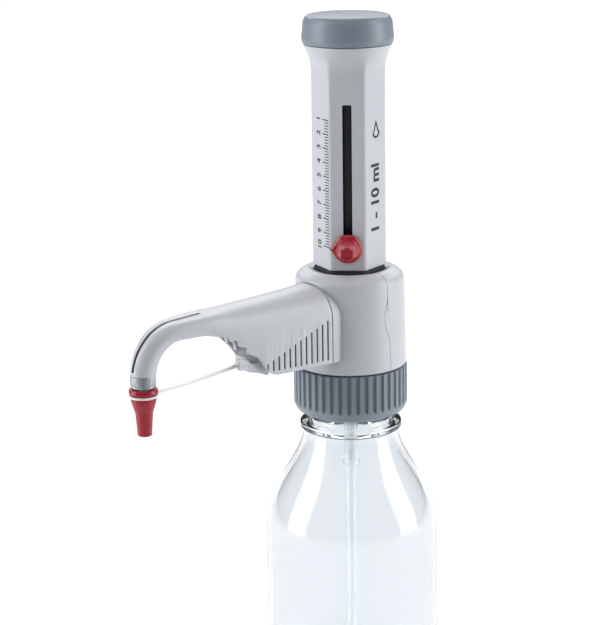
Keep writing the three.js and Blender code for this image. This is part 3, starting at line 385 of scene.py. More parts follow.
def clear(name, tint, roughness, ior, transmission, wave_mm=40, depth_mm=0.02):
    """A see-through material, with the slow waviness that its making leaves."""
    material, tree, shader, place = new_material(name)
    surface = shader.outputs[0].links[0].to_socket
    waves = bumps(tree, noise(tree, place, wave_mm, Detail=1.0), 0.3, depth_mm)
    settle(tree, shader, {"Normal": waves}, Base_Color=colour(tint), Roughness=roughness, IOR=ior,
           Transmission_Weight=transmission)
    # Light from the lamps goes straight through, so that what stands behind isn't black.
    light_path = add_node(tree, "ShaderNodeLightPath")
    passing = add_node(tree, "ShaderNodeBsdfTransparent", Color=colour(tint))
    mixed = add_node(tree, "ShaderNodeMixShader", {
        0: light_path.outputs["Is Shadow Ray"], 1: shader.outputs[0], 2: passing.outputs[0]})
    tree.links.new(mixed.outputs[0], surface)
    return material


# Polypropylene from a finely sparked mould: satin, a little translucent, never quite one grey.
pale_polypropylene = moulded("pale_moulded_polypropylene", "#c6c9ce", "#c0c3c9", 0.36, 0.5, 0.012,
                             subsurface=0.04)
# The same plastic with a blue-grey pigment, on what the hand grips.
slate_polypropylene = moulded("slate_moulded_polypropylene", "#828c98", "#7b8591", 0.38, 0.5, 0.015)
# A glossier red pigment, slightly deeper where the part is thick.
red_polypropylene = moulded("red_moulded_polypropylene", "#a6142a", "#981025", 0.3, 0.6, 0.01,
                            subsurface=0.03)
# Filled black plastic inside the slot: matt, so that it reads as a shadow.
black_acetal = moulded("black_moulded_acetal", "#17191b", "#1c1e20", 0.45, 0.5, 0.012)
# Soft dark elastomer of the seat and the seam washer: matt, with a coarser skin.
dark_elastomer = moulded("dark_moulded_elastomer", "#2f363d", "#293037", 0.6, 0.8, 0.03, ior=1.5)
# PTFE: waxy white and slightly translucent.
white_ptfe = moulded("white_turned_PTFE", "#eceeee", "#e4e7e8", 0.42, 0.3, 0.01, ior=1.35,
                     subsurface=0.1)
# Sintered alumina of the valve balls and the piston rod: smooth, hard and nearly white.
white_alumina = moulded("white_polished_alumina", "#f3f1ea", "#ece9e1", 0.15, 0.2, 0.002, ior=1.7)
# The white flexible strap that holds the cap: polyethylene, soft satin.
white_polyethylene = moulded("white_moulded_polyethylene", "#eff1f2", "#e6e9eb", 0.4, 0.5, 0.01,
                             subsurface=0.1)
# Borosilicate glass: clear, colourless, with the slow waves that blowing leaves.
borosilicate_glass = clear("clear_borosilicate_glass", "#f0f3f5", 0.0, 1.47, 1.0)
# PFA: a milky fluoropolymer that light passes through without a clear picture.
milky_pfa = clear("milky_moulded_PFA", "#c4c9cf", 0.25, 1.34, 0.75, wave_mm=4, depth_mm=0.03)
# Extruded PFA tube: clearer than the moulded pieces, with fine draw lines.
pfa_tube = clear("clear_extruded_PFA_tube", "#fbfcfd", 0.2, 1.34, 0.75, wave_mm=6, depth_mm=0.02)
# The same tube where it lies in the arm's shadow: a greyer, less clear copy, its grey being painted shade.
shade_painted_tube = clear("shade_painted_extruded_PFA_tube", "#b9c0c6", 0.2, 1.35, 0.5, wave_mm=5, depth_mm=0.02)


def printed_ink():
    """Pad-printed scale ink: matt, with the odd thin spot."""
    material, tree, shader, place = new_material("dark_pad_printed_ink")
    tone = two_tones(tree, noise(tree, place, 0.4, Detail=2.0), "#121416", "#1d2023")
    settle(tree, shader, {"Base Color": tone}, Roughness=0.55)
    return material


def ground_steel():
    """Stainless spring and pin steel: ground along its length, with a soft grey shine."""
    material, tree, shader, place = new_material("ground_stainless_steel")
    # Grinding lines 0.3 mm apart and 6 mm long.
    stretched = add_node(tree, "ShaderNodeMapping", {"Vector": place},
                         Scale=(1000 / 0.3, 1000 / 6, 1000 / 0.3))
    lines = noise(tree, stretched.outputs[0], 1000)
    settle(tree, shader, {"Roughness": spread(tree, lines, 0.22, 0.38)},
           Base_Color=colour("#b9bcc0"), Metallic=1.0)
    return material


scale_ink = printed_ink()
stainless_steel = ground_steel()

# ---------- bottle

BOTTLE_WALL = 2.6
BOTTLE_FLOOR = 4.0
MOUTH_RADIUS = 15.0
NECK_RADIUS = 20.3
THREAD_RADIUS = 22.1
THREAD_PITCH = 4.0
THREAD_TURNS = 2.4
BEAD_RADIUS = 25.1
BEAD_DROP = 25.0
BEAD_HEIGHT = 5.0
BEAD_TOP = bottle_high.z - BEAD_DROP + BEAD_HEIGHT / 2
BEAD_LOW = BEAD_TOP - BEAD_HEIGHT
BEAD_ROOT = BEAD_RADIUS - 1.7
SHOULDER_DROP = 78.5
SHOULDER_LOW = bottle_high.z - SHOULDER_DROP
SHOULDER_LEAN = 0.87
HEEL_ROUNDING = 7.0


def shoulder(inset, steps=40):
    """The shoulder, from the straight wall up: it draws in to the neck in an S."""
    points = []
    for i in range(steps + 1):
        share = i / steps
        bulge = (1 - math.cos(math.pi * (1 - share) ** SHOULDER_LEAN)) / 2
        drop = inset * 0.5 * math.sin(math.pi * share)
        points.append((BEAD_ROOT + (bottle_high.x - BEAD_ROOT) * bulge - inset,
                       SHOULDER_LOW + (BEAD_LOW - SHOULDER_LOW) * share - drop))
    return points


def heel(radius, floor, rounding, steps=14):
    """The quarter round between the floor and the straight wall."""
    angles = [math.pi / 2 * i / steps for i in range(steps + 1)]
    return [(radius - rounding + rounding * math.sin(a), floor + rounding - rounding * math.cos(a))
            for a in angles]


def bottle():
    lip = bottle_high.z
    outside = heel(bottle_high.x, 0, HEEL_ROUNDING) + shoulder(0) + fillet([
        (BEAD_ROOT, BEAD_LOW, 0.0), (BEAD_RADIUS, BEAD_LOW + 0.9, 0.8),
        (BEAD_RADIUS, BEAD_TOP - 1.4, 1.2), (NECK_RADIUS + 1.5, BEAD_TOP, 1.0),
        (NECK_RADIUS, BEAD_TOP + 1.2, 1.0), (NECK_RADIUS, lip, 1.4), (MOUTH_RADIUS, lip, 1.4),
        (MOUTH_RADIUS, lip - 20, 3.0), (MOUTH_RADIUS + 5.2, BEAD_LOW, 0.0),
    ], closed=False, steps=8)
    inside = heel(bottle_high.x - BOTTLE_WALL, BOTTLE_FLOOR, HEEL_ROUNDING - 2) + shoulder(BOTTLE_WALL)
    profile = [(0, 0)] + outside + inside[::-1] + [(0, BOTTLE_FLOOR)]
    piece = mesh_object("clear_bottle", turned_mesh(profile, 160))
    finished(piece, borosilicate_glass, "bottle", "bottle", sharp=50)


def bottle_thread():
    """The glass thread: a low rounded ridge that winds up the neck and fades at both ends."""
    start = bottle_high.z - 3.4 - THREAD_TURNS * THREAD_PITCH
    section = [(-1.3, -0.12), (-0.8, 0.55), (-0.3, 0.95), (0.3, 0.95), (0.8, 0.55), (1.3, -0.12)]
    steps = 220
    rings = []
    for k in range(steps + 1):
        turns = THREAD_TURNS * k / steps
        fade = max(min(1.0, k / steps * 14, (1 - k / steps) * 14), 0.08)
        height = (THREAD_RADIUS - NECK_RADIUS) * fade
        rings.append([around_z(NECK_RADIUS + rise * height, FULL_TURN * turns,
                               start + THREAD_PITCH * turns + along) for along, rise in section])
    piece = mesh_object("bottle_neck_thread", lofted_mesh(rings))
    finished(piece, borosilicate_glass, "bottle", sharp=60)


# ---------- thread ring and washers

FLUTES = 42
FLUTE_DEPTH = 1.0
FLUTE_POINTS = 14  # mesh columns to each groove and rib
RIB_LENGTH = 19.2
RING_BORE = 22.8
RING_LIP_BORE = 17.4


def thread_ring():
    """The grip ring: soft ribs between narrow grooves that run out above the tapered toe."""
    radius, low, high = ring_high.x, ring_low.z, ring_high.z
    outline = fillet([
        (24.0, low, 0.6), (radius - 1.3, low + 1.6, 2.6), (radius, low + 4.6, 1.8), (radius, high, 0.7),
        (RING_LIP_BORE, high, 0.3), (RING_LIP_BORE, high - 1.6, 0.3),
        (RING_BORE, high - 1.6, 0.0), (RING_BORE, low, 0.4),
    ], steps=5)
    rings = []
    for r, z in subdivided(outline, 1.2):
        runout = smooth_step((z - (high - RIB_LENGTH)) / 1.6) if r > radius - 2.6 else 0.0
        ring = []
        for i in range(FLUTES * FLUTE_POINTS):
            share = (i % FLUTE_POINTS) / FLUTE_POINTS - 0.5
            groove = max(0.0, math.cos(FULL_TURN * share)) if abs(share) < 0.25 else 0.0
            ring.append(around_z(r - FLUTE_DEPTH * groove ** 0.6 * runout,
                                 FULL_TURN * i / (FLUTES * FLUTE_POINTS), z))
        rings.append(ring)
    piece = mesh_object("ribbed_thread_ring", lofted_mesh(rings, ends="join"))
    finished(piece, slate_polypropylene, "grip_ring", "thread_ring", sharp=40)


def ring_piece(name, node, bore, rounding, material, body):
    """A plain ring as high and as wide as its CAD node."""
    low, high = box_mm(node)
    profile = rounded_box(bore, high.x, low.z, high.z, rounding, steps=3)
    finished(mesh_object(name, turned_mesh(profile, 128)), material, body, node)


# ---------- handle

SLEEVE_CORNER = 18.1
SLEEVE_WALL = 1.8
SLEEVE_ROUNDING = 2.4
FLARE_RADIUS = 21.3
FLARE_HEIGHT = 16.0
SLOT_WIDTH = 4.4
SLOT_TOP = 128.9  # above the seam
SLOT_BOTTOM = 55.0


def handle_ring(height, wall, around):
    """One level of the handle: six-sided below, opening to a circle at the top."""
    share = min(max((height - (sleeve_high.z - FLARE_HEIGHT)) / FLARE_HEIGHT, 0), 1)
    round_radius = SLEEVE_CORNER + (FLARE_RADIUS - SLEEVE_CORNER) * share ** 1.6 - wall
    mix = smooth_step(share)
    return [around_z(radius * (1 - mix) + round_radius * mix, angle, height) for angle, radius in around]


def handle_sleeve():
    angles = [FULL_TURN * i / 180 for i in range(180)]
    outline = handle_outline(SLEEVE_CORNER, SLEEVE_ROUNDING)
    inner = handle_outline(SLEEVE_CORNER - SLEEVE_WALL / math.cos(math.pi / 6), SLEEVE_ROUNDING)
    outside = [(a, polar(outline, a)) for a in angles]
    inside = [(a, polar(inner, a)) for a in angles]
    drawn_in = [(a, r - 0.35) for a, r in outside]
    low, high = sleeve_low.z, sleeve_high.z
    levels = [low + 0.5, low + 40, high - FLARE_HEIGHT]
    levels += [high - FLARE_HEIGHT + FLARE_HEIGHT * k / 14 for k in range(1, 14)] + [high - 0.3]
    rings = [handle_ring(low, 0, drawn_in)] + [handle_ring(z, 0, outside) for z in levels]
    rings += [handle_ring(high, 0.3, drawn_in)]
    rings += [handle_ring(z, SLEEVE_WALL, inside) for z in [high] + levels[::-1] + [low]]
    piece = mesh_object("handle_sleeve_shell", moved(lofted_mesh(rings, ends="join"), slot_azimuth))
    half = SLOT_WIDTH / 2
    slot = rounded_box(-half, half, seam + SLOT_BOTTOM, seam + SLOT_TOP, 0.8)
    cut(piece, [moved(along_x([(10, slot), (20, slot)]), slot_azimuth)])
    soften(piece, 0.2, 2, 50)
    finished(piece, pale_polypropylene, "pump", "handle_sleeve", sharp=28)


def top_cap():
    """The press cap: gently crowned, with a rounded shoulder and a small mark from the mould's gate."""
    low, high = sleeve_high.z + 0.3, cap_high.z
    radius = cap_high.x
    outside = fillet([
        (0, high, 0.0), (10, high - 0.12, 8.0), (radius - 2.2, high - 0.7, 2.6),
        (radius - 0.8, high - 3.6, 3.0), (radius, low + 2.6, 3.0), (radius - 0.4, low, 0.7),
        (18.2, low, 0.3), (18.2, cap_low.z + 14.5, 0.3), (16.8, cap_low.z + 14.5, 0.3),
        (16.8, high - 2.4, 1.0), (7.0, high - 2.4, 1.0), (7.0, cap_low.z, 0.3), (4.3, cap_low.z, 0.0),
        (4.3, high - 3.0, 0.0), (0, high - 3.0, 0.0),
    ], closed=False, steps=8)
    piece = mesh_object("top_cap_shell", turned_mesh(outside, 144))
    cut(piece, [moved(rod(0.75, high + 1, high - 0.45, 24), shift=(-1.9, 4.6, 0))])
    finished(piece, slate_polypropylene, "pump", "top_cap", sharp=32)


# ---------- volume scale

ML_STEP = 6.8
TICKS_PER_ML = 5
FACE_TURN = 59.25  # degrees from the front face to the faces beside it
FACE_DISTANCE = 15.555
PRINT_LIFT = 0.03
PRINT_BACK = -0.05
TEXT_HALF = 0.04
NUMBER_SIZE = 4.8
RANGE_SIZE = 9.4


def face_point(side, across, height, lift=PRINT_LIFT):
    """A point on the face beside the front one: side -1 on its left, +1 on its right."""
    turn = math.radians(slot_azimuth + side * FACE_TURN)
    normal = Vector((math.cos(turn), math.sin(turn), 0))
    along = Vector((-math.sin(turn), math.cos(turn), 0))
    place = normal * (FACE_DISTANCE + lift) + along * across
    return Vector((place.x, place.y, height))


def printed_bar(side, across_from, across_to, height, thickness):
    """One printed line, a thin slab on the face."""
    corners = rounded_box(across_from, across_to, height - thickness / 2, height + thickness / 2)
    return lofted_mesh([[face_point(side, a, z, lift) for a, z in corners]
                        for lift in (PRINT_BACK, PRINT_LIFT)])


def printed_text(words, size, side, across, height, weight):
    """Text as a thin mesh that reads upwards on a face, in the plain built-in font."""
    curve = bpy.data.curves.new("print", "FONT")
    fitted(curve, body=words, size=size, extrude=TEXT_HALF, offset=weight,
           align_x="CENTER", align_y="CENTER", resolution_u=3)
    holder = add_object("print", curve)
    flat = worked_out(holder)
    verts = [tuple(face_point(side, across - y, height + x, PRINT_LIFT - TEXT_HALF + z))
             for x, y, z in (vertex.co for vertex in flat.vertices)]
    faces = [tuple(face.vertices) for face in flat.polygons]
    bpy.data.objects.remove(holder)
    return verts, faces


def volume_scale():
    """Ticks every 0.2 ml and a number at each ml, largest at the bottom."""
    lowest = pointer_height + 0.3
    shapes = []
    for step in range(9 * TICKS_PER_ML + 1):
        height = lowest + ML_STEP * step / TICKS_PER_ML
        millilitres, between = divmod(step, TICKS_PER_ML)
        shapes.append(printed_bar(-1, 5.0 if between else 3.1, 8.7, height, 0.46 if between else 0.55))
        if not between:
            shapes.append(printed_text(str(10 - millilitres), NUMBER_SIZE, -1, -0.9, height, 0.12))
    piece = mesh_object("volume_scale_print", joined(*shapes))
    finished(piece, scale_ink, "pump")


def range_print():
    """On the other side, the range in words and a plain drop above it."""
    drop = []
    for i in range(28):
        angle = FULL_TURN * i / 28
        upper = max(math.sin(angle), 0)
        narrow = 1 - 0.5 * (upper + 1) / 2 if upper > 0 else 1.0
        drop.append((3.2 * math.cos(angle) * narrow * (1 - upper ** 2 * 0.4),
                     3.0 * math.sin(angle) + 2.6 * upper ** 2))
    inner = [(x * 0.6, y * 0.6 - 0.2) for x, y in drop]
    middle = pointer_height + 55
    loops = [[face_point(1, x, middle + y, lift) for x, y in outline] for outline, lift in (
        (drop, PRINT_BACK), (drop, PRINT_LIFT), (inner, PRINT_LIFT), (inner, PRINT_BACK))]
    words = printed_text("1 - 10 ml", RANGE_SIZE, 1, -0.6, pointer_height + 23, 0.3)
    finished(mesh_object("range_print", joined(words, lofted_mesh(loops, ends="join"))), scale_ink, "pump")


# ---------- pointer and knob

POINTER_RADIUS = 7.0
POINTER_TIP = 9.1
POINTER_BORE = 1.5
SLEEVE_FACE = 15.907
POINTER_BACK = SLEEVE_FACE + 0.3
POINTER_FRONT = POINTER_BACK + 2.0
KNOB_LENGTH = 9.6
KNOB_SCREW = 1.2


def teardrop(inset, steps=40):
    """A disc drawn out to a point on its left side."""
    radius, tip = POINTER_RADIUS - inset, POINTER_TIP - inset * 1.3
    tangent = math.acos(radius / tip)
    start, sweep = -math.pi + tangent, FULL_TURN - 2 * tangent
    disc = [around_z(radius, start + sweep * k / steps, 0)[:2] for k in range(steps + 1)]
    return disc + [(-tip + 0.35, -0.22), (-tip, 0), (-tip + 0.35, 0.22)]


def outward(shape):
    """A shape drawn along +X at the pointer's height, turned to the slot's side."""
    return moved(moved(shape, shift=(0, 0, pointer_height)), slot_azimuth)


def volume_pointer():
    levels = [(POINTER_BACK, 0.25), (POINTER_BACK + 0.25, 0.0), (POINTER_BACK + 1.0, 0.05),
              (POINTER_FRONT - 0.2, 0.75), (POINTER_FRONT, 1.05)]
    plate = along_x([(x, teardrop(inset)) for x, inset in levels])
    piece = mesh_object("volume_pointer_plate", outward(plate))
    shank = rounded_box(-1.9, 1.9, -3, 3, 0.5, steps=3)
    cut(piece, [outward(along_x([(13.95, shank), (POINTER_BACK + 0.5, shank)]))], "UNION")
    cut(piece, [outward(rod(POINTER_BORE, 10, 30, 32, "Y"))])
    finished(piece, red_polypropylene, "pointer", "volume_pointer", sharp=30)


def knob_section(radius, facet):
    """Between a circle and a rounded hexagon: facet 0 is round."""
    ring = []
    for i in range(72):
        angle = FULL_TURN * i / 72
        lean = (angle + math.pi / 6) % (math.pi / 3) - math.pi / 6
        flat = math.cos(math.pi / 6) / math.cos(lean)
        ring.append(around_z(radius * (1 - facet + facet * flat), angle, 0)[:2])
    return ring


def pointer_knob():
    back = POINTER_FRONT + 0.3
    front = back + KNOB_LENGTH
    levels = [(back, 5.5, 0.0), (back + 0.3, 5.8, 0.0), (back + 1.2, 5.75, 0.0), (back + 1.7, 5.4, 0.3),
              (back + 3.0, 5.0, 0.9), (front - 0.5, 3.65, 1.0), (front - 0.15, 3.45, 1.0),
              (front, 3.1, 1.0), (front - 0.25, 2.5, 1.0)]
    grip = along_x([(x, knob_section(r, facet)) for x, r, facet in levels])
    piece = mesh_object("pointer_thumb_knob", outward(grip))
    cut(piece, [outward(rod(KNOB_SCREW, 14.1, back + 0.5, 24, "Y"))], "UNION")
    finished(piece, red_polypropylene, "knob", "pointer_knob", sharp=24)


# ---------- housing

HOUSING_FOOT = 27.47
HOUSING_WALL = 2.3
HOUSING_TOP = 47.9
OPENING_RADIUS = 18.9
PARTING_GAP = 0.12
VENT_HEIGHT = 10.0
SEAT_CORNER = 17.6
SEAT_BORE = 12.4
ARM_ROOT = 25.6
ARM_BOTTOM = 6.9
ARM_TOP = 43.4
ARM_HALF_WIDTH = 17.0
ARM_CORNER = 15.0
ARM_WALL = 1.9


def housing_profile():
    """Outside of the shells from the foot up over the shoulder, as (radius, height)."""
    return fillet([
        (HOUSING_FOOT - 0.35, 0, 0.0), (HOUSING_FOOT, 0.5, 0.4), (HOUSING_FOOT - 0.67, 38, 12.0),
        (HOUSING_FOOT - 1.0, 44.6, 4.5), (22.6, 47.1, 3.0), (19.9, HOUSING_TOP, 1.2),
        (OPENING_RADIUS, HOUSING_TOP - 0.5, 0.8),
    ], closed=False, steps=9)


def housing_levels():
    """The closed skin of both shells before they part: outside, rolled rim of the opening, inside.
    Each level is (radius, height, how six-sided it is), and the rim's radius is 0, as its shape sets it."""
    outside = [(r, z, 0.0) for r, z in subdivided(housing_profile(), 3.0, closed=False)]
    rim = [(0, HOUSING_TOP - 1.1, 0.75), (0, HOUSING_TOP - 1.9, 1.0), (0, HOUSING_TOP - 3.4, 1.0)]
    inner = HOUSING_FOOT - HOUSING_WALL
    return outside + rim + [(HOUSING_FOOT - 4.5, HOUSING_TOP - 4.4, 0.0), (inner - 0.8, 41, 0.0),
                            (inner - 0.6, 20, 0.0), (inner, 0, 0.0)]


def parting(height):
    """How far the parting line stands from the middle plane: a shallow S."""
    share = height / HOUSING_TOP
    knots = [(-0.2, 2.0), (0.0, 2.0), (0.28, 1.5), (0.54, -1.6), (0.8, 0.5), (1.0, 0.5), (1.2, 0.5)]
    for (low, a), (high, b) in zip(knots, knots[1:]):
        if low <= share <= high:
            return a + (b - a) * smooth_step((share - low) / (high - low))
    return 0.5


def housing_shell(name, side):
    """One half shell: side -1 is the front one, +1 the rear one."""
    opening = handle_outline(SEAT_CORNER + 0.45, SLEEVE_ROUNDING)
    turn = math.radians(slot_azimuth)
    columns = 96
    rings = []
    for r, z, hexed in housing_levels():
        gap = parting(z) + side * PARTING_GAP
        edge = math.acos(max(-1.0, min(1.0, gap / (r if r else HOUSING_FOOT - 8))))
        ring = []
        for i in range(columns + 1):
            share = i / columns
            angle = edge + (FULL_TURN - 2 * edge) * share if side < 0 else -edge + 2 * edge * share
            inner = polar(opening, angle - turn)
            radius = r if r else inner + (OPENING_RADIUS - inner) * (1 - hexed)
            ring.append(around_z(radius, angle, seam + z))
        rings.append(ring)
    return mesh_object(name, lofted_mesh([list(column) for column in zip(*rings)]))


def arm_section(half, bottom, top, corner, low_corner, steps=10):
    """A closed section in (y, z): rounded above, and below by its own smaller radius."""
    corner = min(corner, half, (top - bottom) / 2 + 0.001 if low_corner > 1 else top - bottom)
    points = []
    spots = [(half - low_corner, bottom + low_corner, low_corner, -90),
             (half - corner, top - corner, corner, 0),
             (corner - half, top - corner, corner, 90),
             (low_corner - half, bottom + low_corner, low_corner, 180)]
    for y, z, radius, start in spots:
        for k in range(steps + 1):
            angle = math.radians(start + 90 * k / steps)
            points.append((y + radius * math.cos(angle), z + radius * math.sin(angle)))
    return points


def collar(inset, start, end):
    section = arm_section(ARM_HALF_WIDTH - inset, ARM_BOTTOM + inset, ARM_TOP - inset,
                          ARM_CORNER - inset, 0.8)
    return lofted_mesh([[(-x, y, seam + z) for y, z in section] for x in (start, end)])


def front_housing():
    piece = housing_shell("front_housing_shell", -1)
    cut(piece, [collar(0, 15, ARM_ROOT)], "UNION")
    inner = HOUSING_FOOT - HOUSING_WALL
    core = turned_mesh([(0, seam), (inner - 0.4, seam), (inner - 0.7, seam + 43), (0, seam + 43)], 128)
    cut(piece, [collar(ARM_WALL, 15, 40), collar(-0.3, ARM_ROOT, 40), core])
    finished(piece, pale_polypropylene, "dispenser", "front_housing", sharp=30)


def rear_housing():
    piece = housing_shell("rear_housing_shell", 1)
    cut(piece, [moved(rod(3.4, 20, 32, 48, "Y"), shift=(0, 0, seam + VENT_HEIGHT))])
    finished(piece, pale_polypropylene, "dispenser", "rear_housing", sharp=30)


def vent_plug():
    profile = fillet([
        (0, 24.4, 0.0), (3.1, 24.4, 0.3), (3.1, 27.8, 0.0), (4.3, 27.8, 0.2),
        (4.3, 28.6, 0.5), (3.2, 29.07, 0.8), (2.0, 28.8, 0.4), (0, 28.8, 0.0),
    ], closed=False, steps=4)
    shape = moved(turned_mesh(profile, 64), 90, (0, 0, seam + VENT_HEIGHT), "Y")
    finished(mesh_object("vent_plug_disc", shape), slate_polypropylene, "dispenser", "vent_plug")


def sleeve_seat():
    """The dark six-sided collar that the handle comes down on."""
    outline = handle_outline(SEAT_CORNER, SLEEVE_ROUNDING)
    shrunk = handle_outline(SEAT_CORNER - 0.5, SLEEVE_ROUNDING)
    circle = [around_z(SEAT_BORE, math.atan2(y, x), 0)[:2] for x, y in outline]
    low, high = seat_low.z, seat_high.z
    levels = [(outline, low), (outline, high - 0.5), (shrunk, high), (circle, high), (circle, low)]
    rings = [[(x, y, z) for x, y in ring] for ring, z in levels]
    piece = mesh_object("handle_seat", moved(lofted_mesh(rings, ends="join"), slot_azimuth))
    finished(piece, dark_elastomer, "dispenser", "sleeve_seat")


# ---------- discharge arm

BEND_RADIUS = 18.0
BEND_CORNER = 6.5
NOZZLE_RADIUS = 6.0
OUTLET = 34.0
OPENING_START = 59.0
OPENING_END = 94.0
UNDERSIDE = 31.4
NOZZLE_END = 18.2
ARM_ENTRY = 22.0
BEND_START = arm_reach - BEND_RADIUS
BEND_CENTRE = OUTLET - BEND_RADIUS
TUBE_START = 31.9
TUBE_RADIUS = 2.2
TUBE_BORE = 1.0
CHANNEL_RADIUS = 2.8
BACK_SLOT_HALF = 0.85
GROOVES = 12
GROOVE_PITCH = 3.1
GROOVE_HALF = 0.45
GROOVE_DEPTH = 0.75
# Two short ribs that hang from the roof and hold the tube: distance from the axis, lower end.
INNER_RIB = (73.0, 18.0)
OUTER_RIB = (77.5, 22.5)


def arm_width(reach):
    """Half the arm's width, which narrows evenly from the housing to the nozzle."""
    end = arm_reach + NOZZLE_RADIUS
    share = min(max((reach - ARM_ENTRY) / (end - ARM_ENTRY), 0), 1)
    return ARM_HALF_WIDTH + (NOZZLE_RADIUS - ARM_HALF_WIDTH) * share


def arm_levels(reach):
    """Lower and upper height of the arm's section at a distance from the axis."""
    top_share = (reach - ARM_ROOT) / (BEND_START - ARM_ROOT)
    top = ARM_TOP + (OUTLET + NOZZLE_RADIUS - ARM_TOP) * top_share
    rise = smooth_step((reach - OPENING_START + 2) / (OPENING_END + 4 - OPENING_START)) ** 0.8
    return ARM_BOTTOM + (UNDERSIDE - ARM_BOTTOM) * rise, top


def arm_rings(inset, start):
    """Sections from the root along the arm, and with no inset also round the bend to the nozzle."""
    rings = []
    steps = 34  # along the straight part
    for k in range(steps + 1):
        reach = start + (BEND_START - start) * k / steps
        bottom, top = arm_levels(reach)
        half = arm_width(reach) - inset
        closing = smooth_step((reach - OPENING_START) / (OPENING_END - OPENING_START))
        narrowing = smooth_step((reach - ARM_ROOT) / (BEND_START - ARM_ROOT))
        corner = ARM_CORNER + (BEND_CORNER - ARM_CORNER) * narrowing
        section = arm_section(half, bottom - 30 * (inset > 0), top - inset, max(corner - inset, 1),
                              0.5 if inset else 0.6 + 3.6 * closing)
        rings.append([(-reach, y, seam + z) for y, z in section])
    if inset:
        return rings
    outer = BEND_RADIUS + NOZZLE_RADIUS
    end_angle = math.asin((NOZZLE_END - BEND_CENTRE) / outer)
    steps = 20  # round the bend
    for k in range(1, steps + 1):
        angle = math.pi / 2 + (end_angle - math.pi / 2) * k / steps
        round_share = smooth_step(k / steps)
        below = OUTLET - UNDERSIDE
        inner = BEND_RADIUS - below + (below - NOZZLE_RADIUS) * round_share
        half = arm_width(BEND_START + outer * math.cos(angle))
        corner = min(half, (outer - inner) / 2, BEND_CORNER)
        section = arm_section(half, inner, outer, min(corner, (outer - inner) / 2 - 0.01),
                              4.2 + (corner - 4.2) * round_share)
        rings.append([(-(BEND_START + r * math.cos(angle)), y, seam + BEND_CENTRE + r * math.sin(angle))
                      for y, r in section])
    return rings


def stepped_edge(side):
    """What is cut away below one side wall: stepped on the near side, plain on the far side."""
    run, rise = OPENING_END - OPENING_START, UNDERSIDE - ARM_BOTTOM
    near = [(0.05, 0.03), (0.24, 0.42), (0.39, 0.52), (0.4, 0.64), (0.53, 0.7), (0.54, 0.8),
            (0.68, 0.89), (0.81, 0.95), (1.0, 1.0)]
    far = [(0.02, 0.02), (0.1, 0.25), (0.22, 0.46), (0.36, 0.63), (0.5, 0.78), (0.66, 0.9),
           (0.82, 0.97), (1.0, 1.0)]
    edge = [(OPENING_START + run * a, ARM_BOTTOM + rise * b) for a, b in (near if side < 0 else far)]
    outline = [(OPENING_START, ARM_BOTTOM - 6)] + edge + [(OPENING_END + 1, ARM_BOTTOM - 6)]
    return across_arm(outline, 0, side * 25)


def on_bend(radius, angle):
    """A point round the bend, as (distance from the axis, height above the seam)."""
    return BEND_START + radius * math.cos(angle), BEND_CENTRE + radius * math.sin(angle)


def discharge_route(start, end_height, steps=48):
    """Centre line of the tube: out along the arm, round the bend and down to the tip."""
    bend = [on_bend(BEND_RADIUS, math.pi / 2 * (1 - k / steps)) for k in range(steps + 1)]
    return [(start, OUTLET), ((start + BEND_START) / 2, OUTLET)] + bend + [(arm_reach, end_height)]


def tube_rings(route, radius, count=32):
    """Rings of a round tube along a line in the arm's middle plane."""
    rings = []
    for i, (s, z) in enumerate(route):
        before, after = route[max(i - 1, 0)], route[min(i + 1, len(route) - 1)]
        lean = math.atan2(after[1] - before[1], after[0] - before[0])
        rings.append([
            (-(s - radius * math.sin(a) * math.sin(lean)), radius * math.cos(a),
             seam + z + radius * math.sin(a) * math.cos(lean))
            for a in (FULL_TURN * k / count for k in range(count))
        ])
    return rings


def tube_slot():
    """The narrow slot along the arm's back, through which the tube shows."""
    angles = [math.pi / 2 + (math.radians(9) - math.pi / 2) * k / 24 for k in range(25)]
    outer = [(OPENING_END - 2, OUTLET + 9)] + [on_bend(BEND_RADIUS + 10, a) for a in angles]
    inner = [(OPENING_END - 2, OUTLET)] + [on_bend(BEND_RADIUS, a) for a in angles]
    return across_arm(outer + inner[::-1], -BACK_SLOT_HALF, BACK_SLOT_HALF)


def grip_grooves():
    """Upright grooves on each side near the root, shorter towards the nozzle."""
    tools = []
    for i in range(GROOVES):
        reach = ARM_ROOT + 2.9 + i * GROOVE_PITCH
        low = ARM_BOTTOM + 2.2
        high = low + 4.0 + 15.5 * (1 - i / (GROOVES - 1))
        outline = rounded_box(reach - GROOVE_HALF, reach + GROOVE_HALF, low, high, 0.4, steps=3)
        for side in (-1, 1):
            y = side * arm_width(reach)
            tools.append(across_arm(outline, y - GROOVE_DEPTH, y + GROOVE_DEPTH))
    return joined(*tools)


def tube_rib(place):
    """A thin rib inside the arm, given by its reach and its lower edge."""
    reach, low = place
    return across_arm(rounded_box(reach + 0.6, reach - 0.6, low, OUTLET + 6), -2.0, 6.0)


def tube_passage(route):
    """The round way that is cut for the tube."""
    return lofted_mesh(tube_rings(route, CHANNEL_RADIUS))


def discharge_arm():
    root = ARM_ROOT + 0.3
    piece = mesh_object("discharge_arm_shell", lofted_mesh(arm_rings(0, root)))
    # Only the first rings are used, so that the hollow stops short of the bend.
    cut(piece, [lofted_mesh(arm_rings(ARM_WALL, root - 2)[:28])])
    cut(piece, [tube_rib(INNER_RIB), tube_rib(OUTER_RIB)], "UNION")
    channel = tube_passage(discharge_route(OPENING_END - 10, NOZZLE_END - 2))
    rib_holes = tube_passage([(INNER_RIB[0] - 5, OUTLET), (OUTER_RIB[0] + 5, OUTLET)])
    cut(piece, [stepped_edge(-1), stepped_edge(1), channel, tube_slot(), grip_grooves(), rib_holes])
    soften(piece, 0.22, 2, 40)
    finished(piece, pale_polypropylene, "dispenser", "discharge_arm", sharp=30)


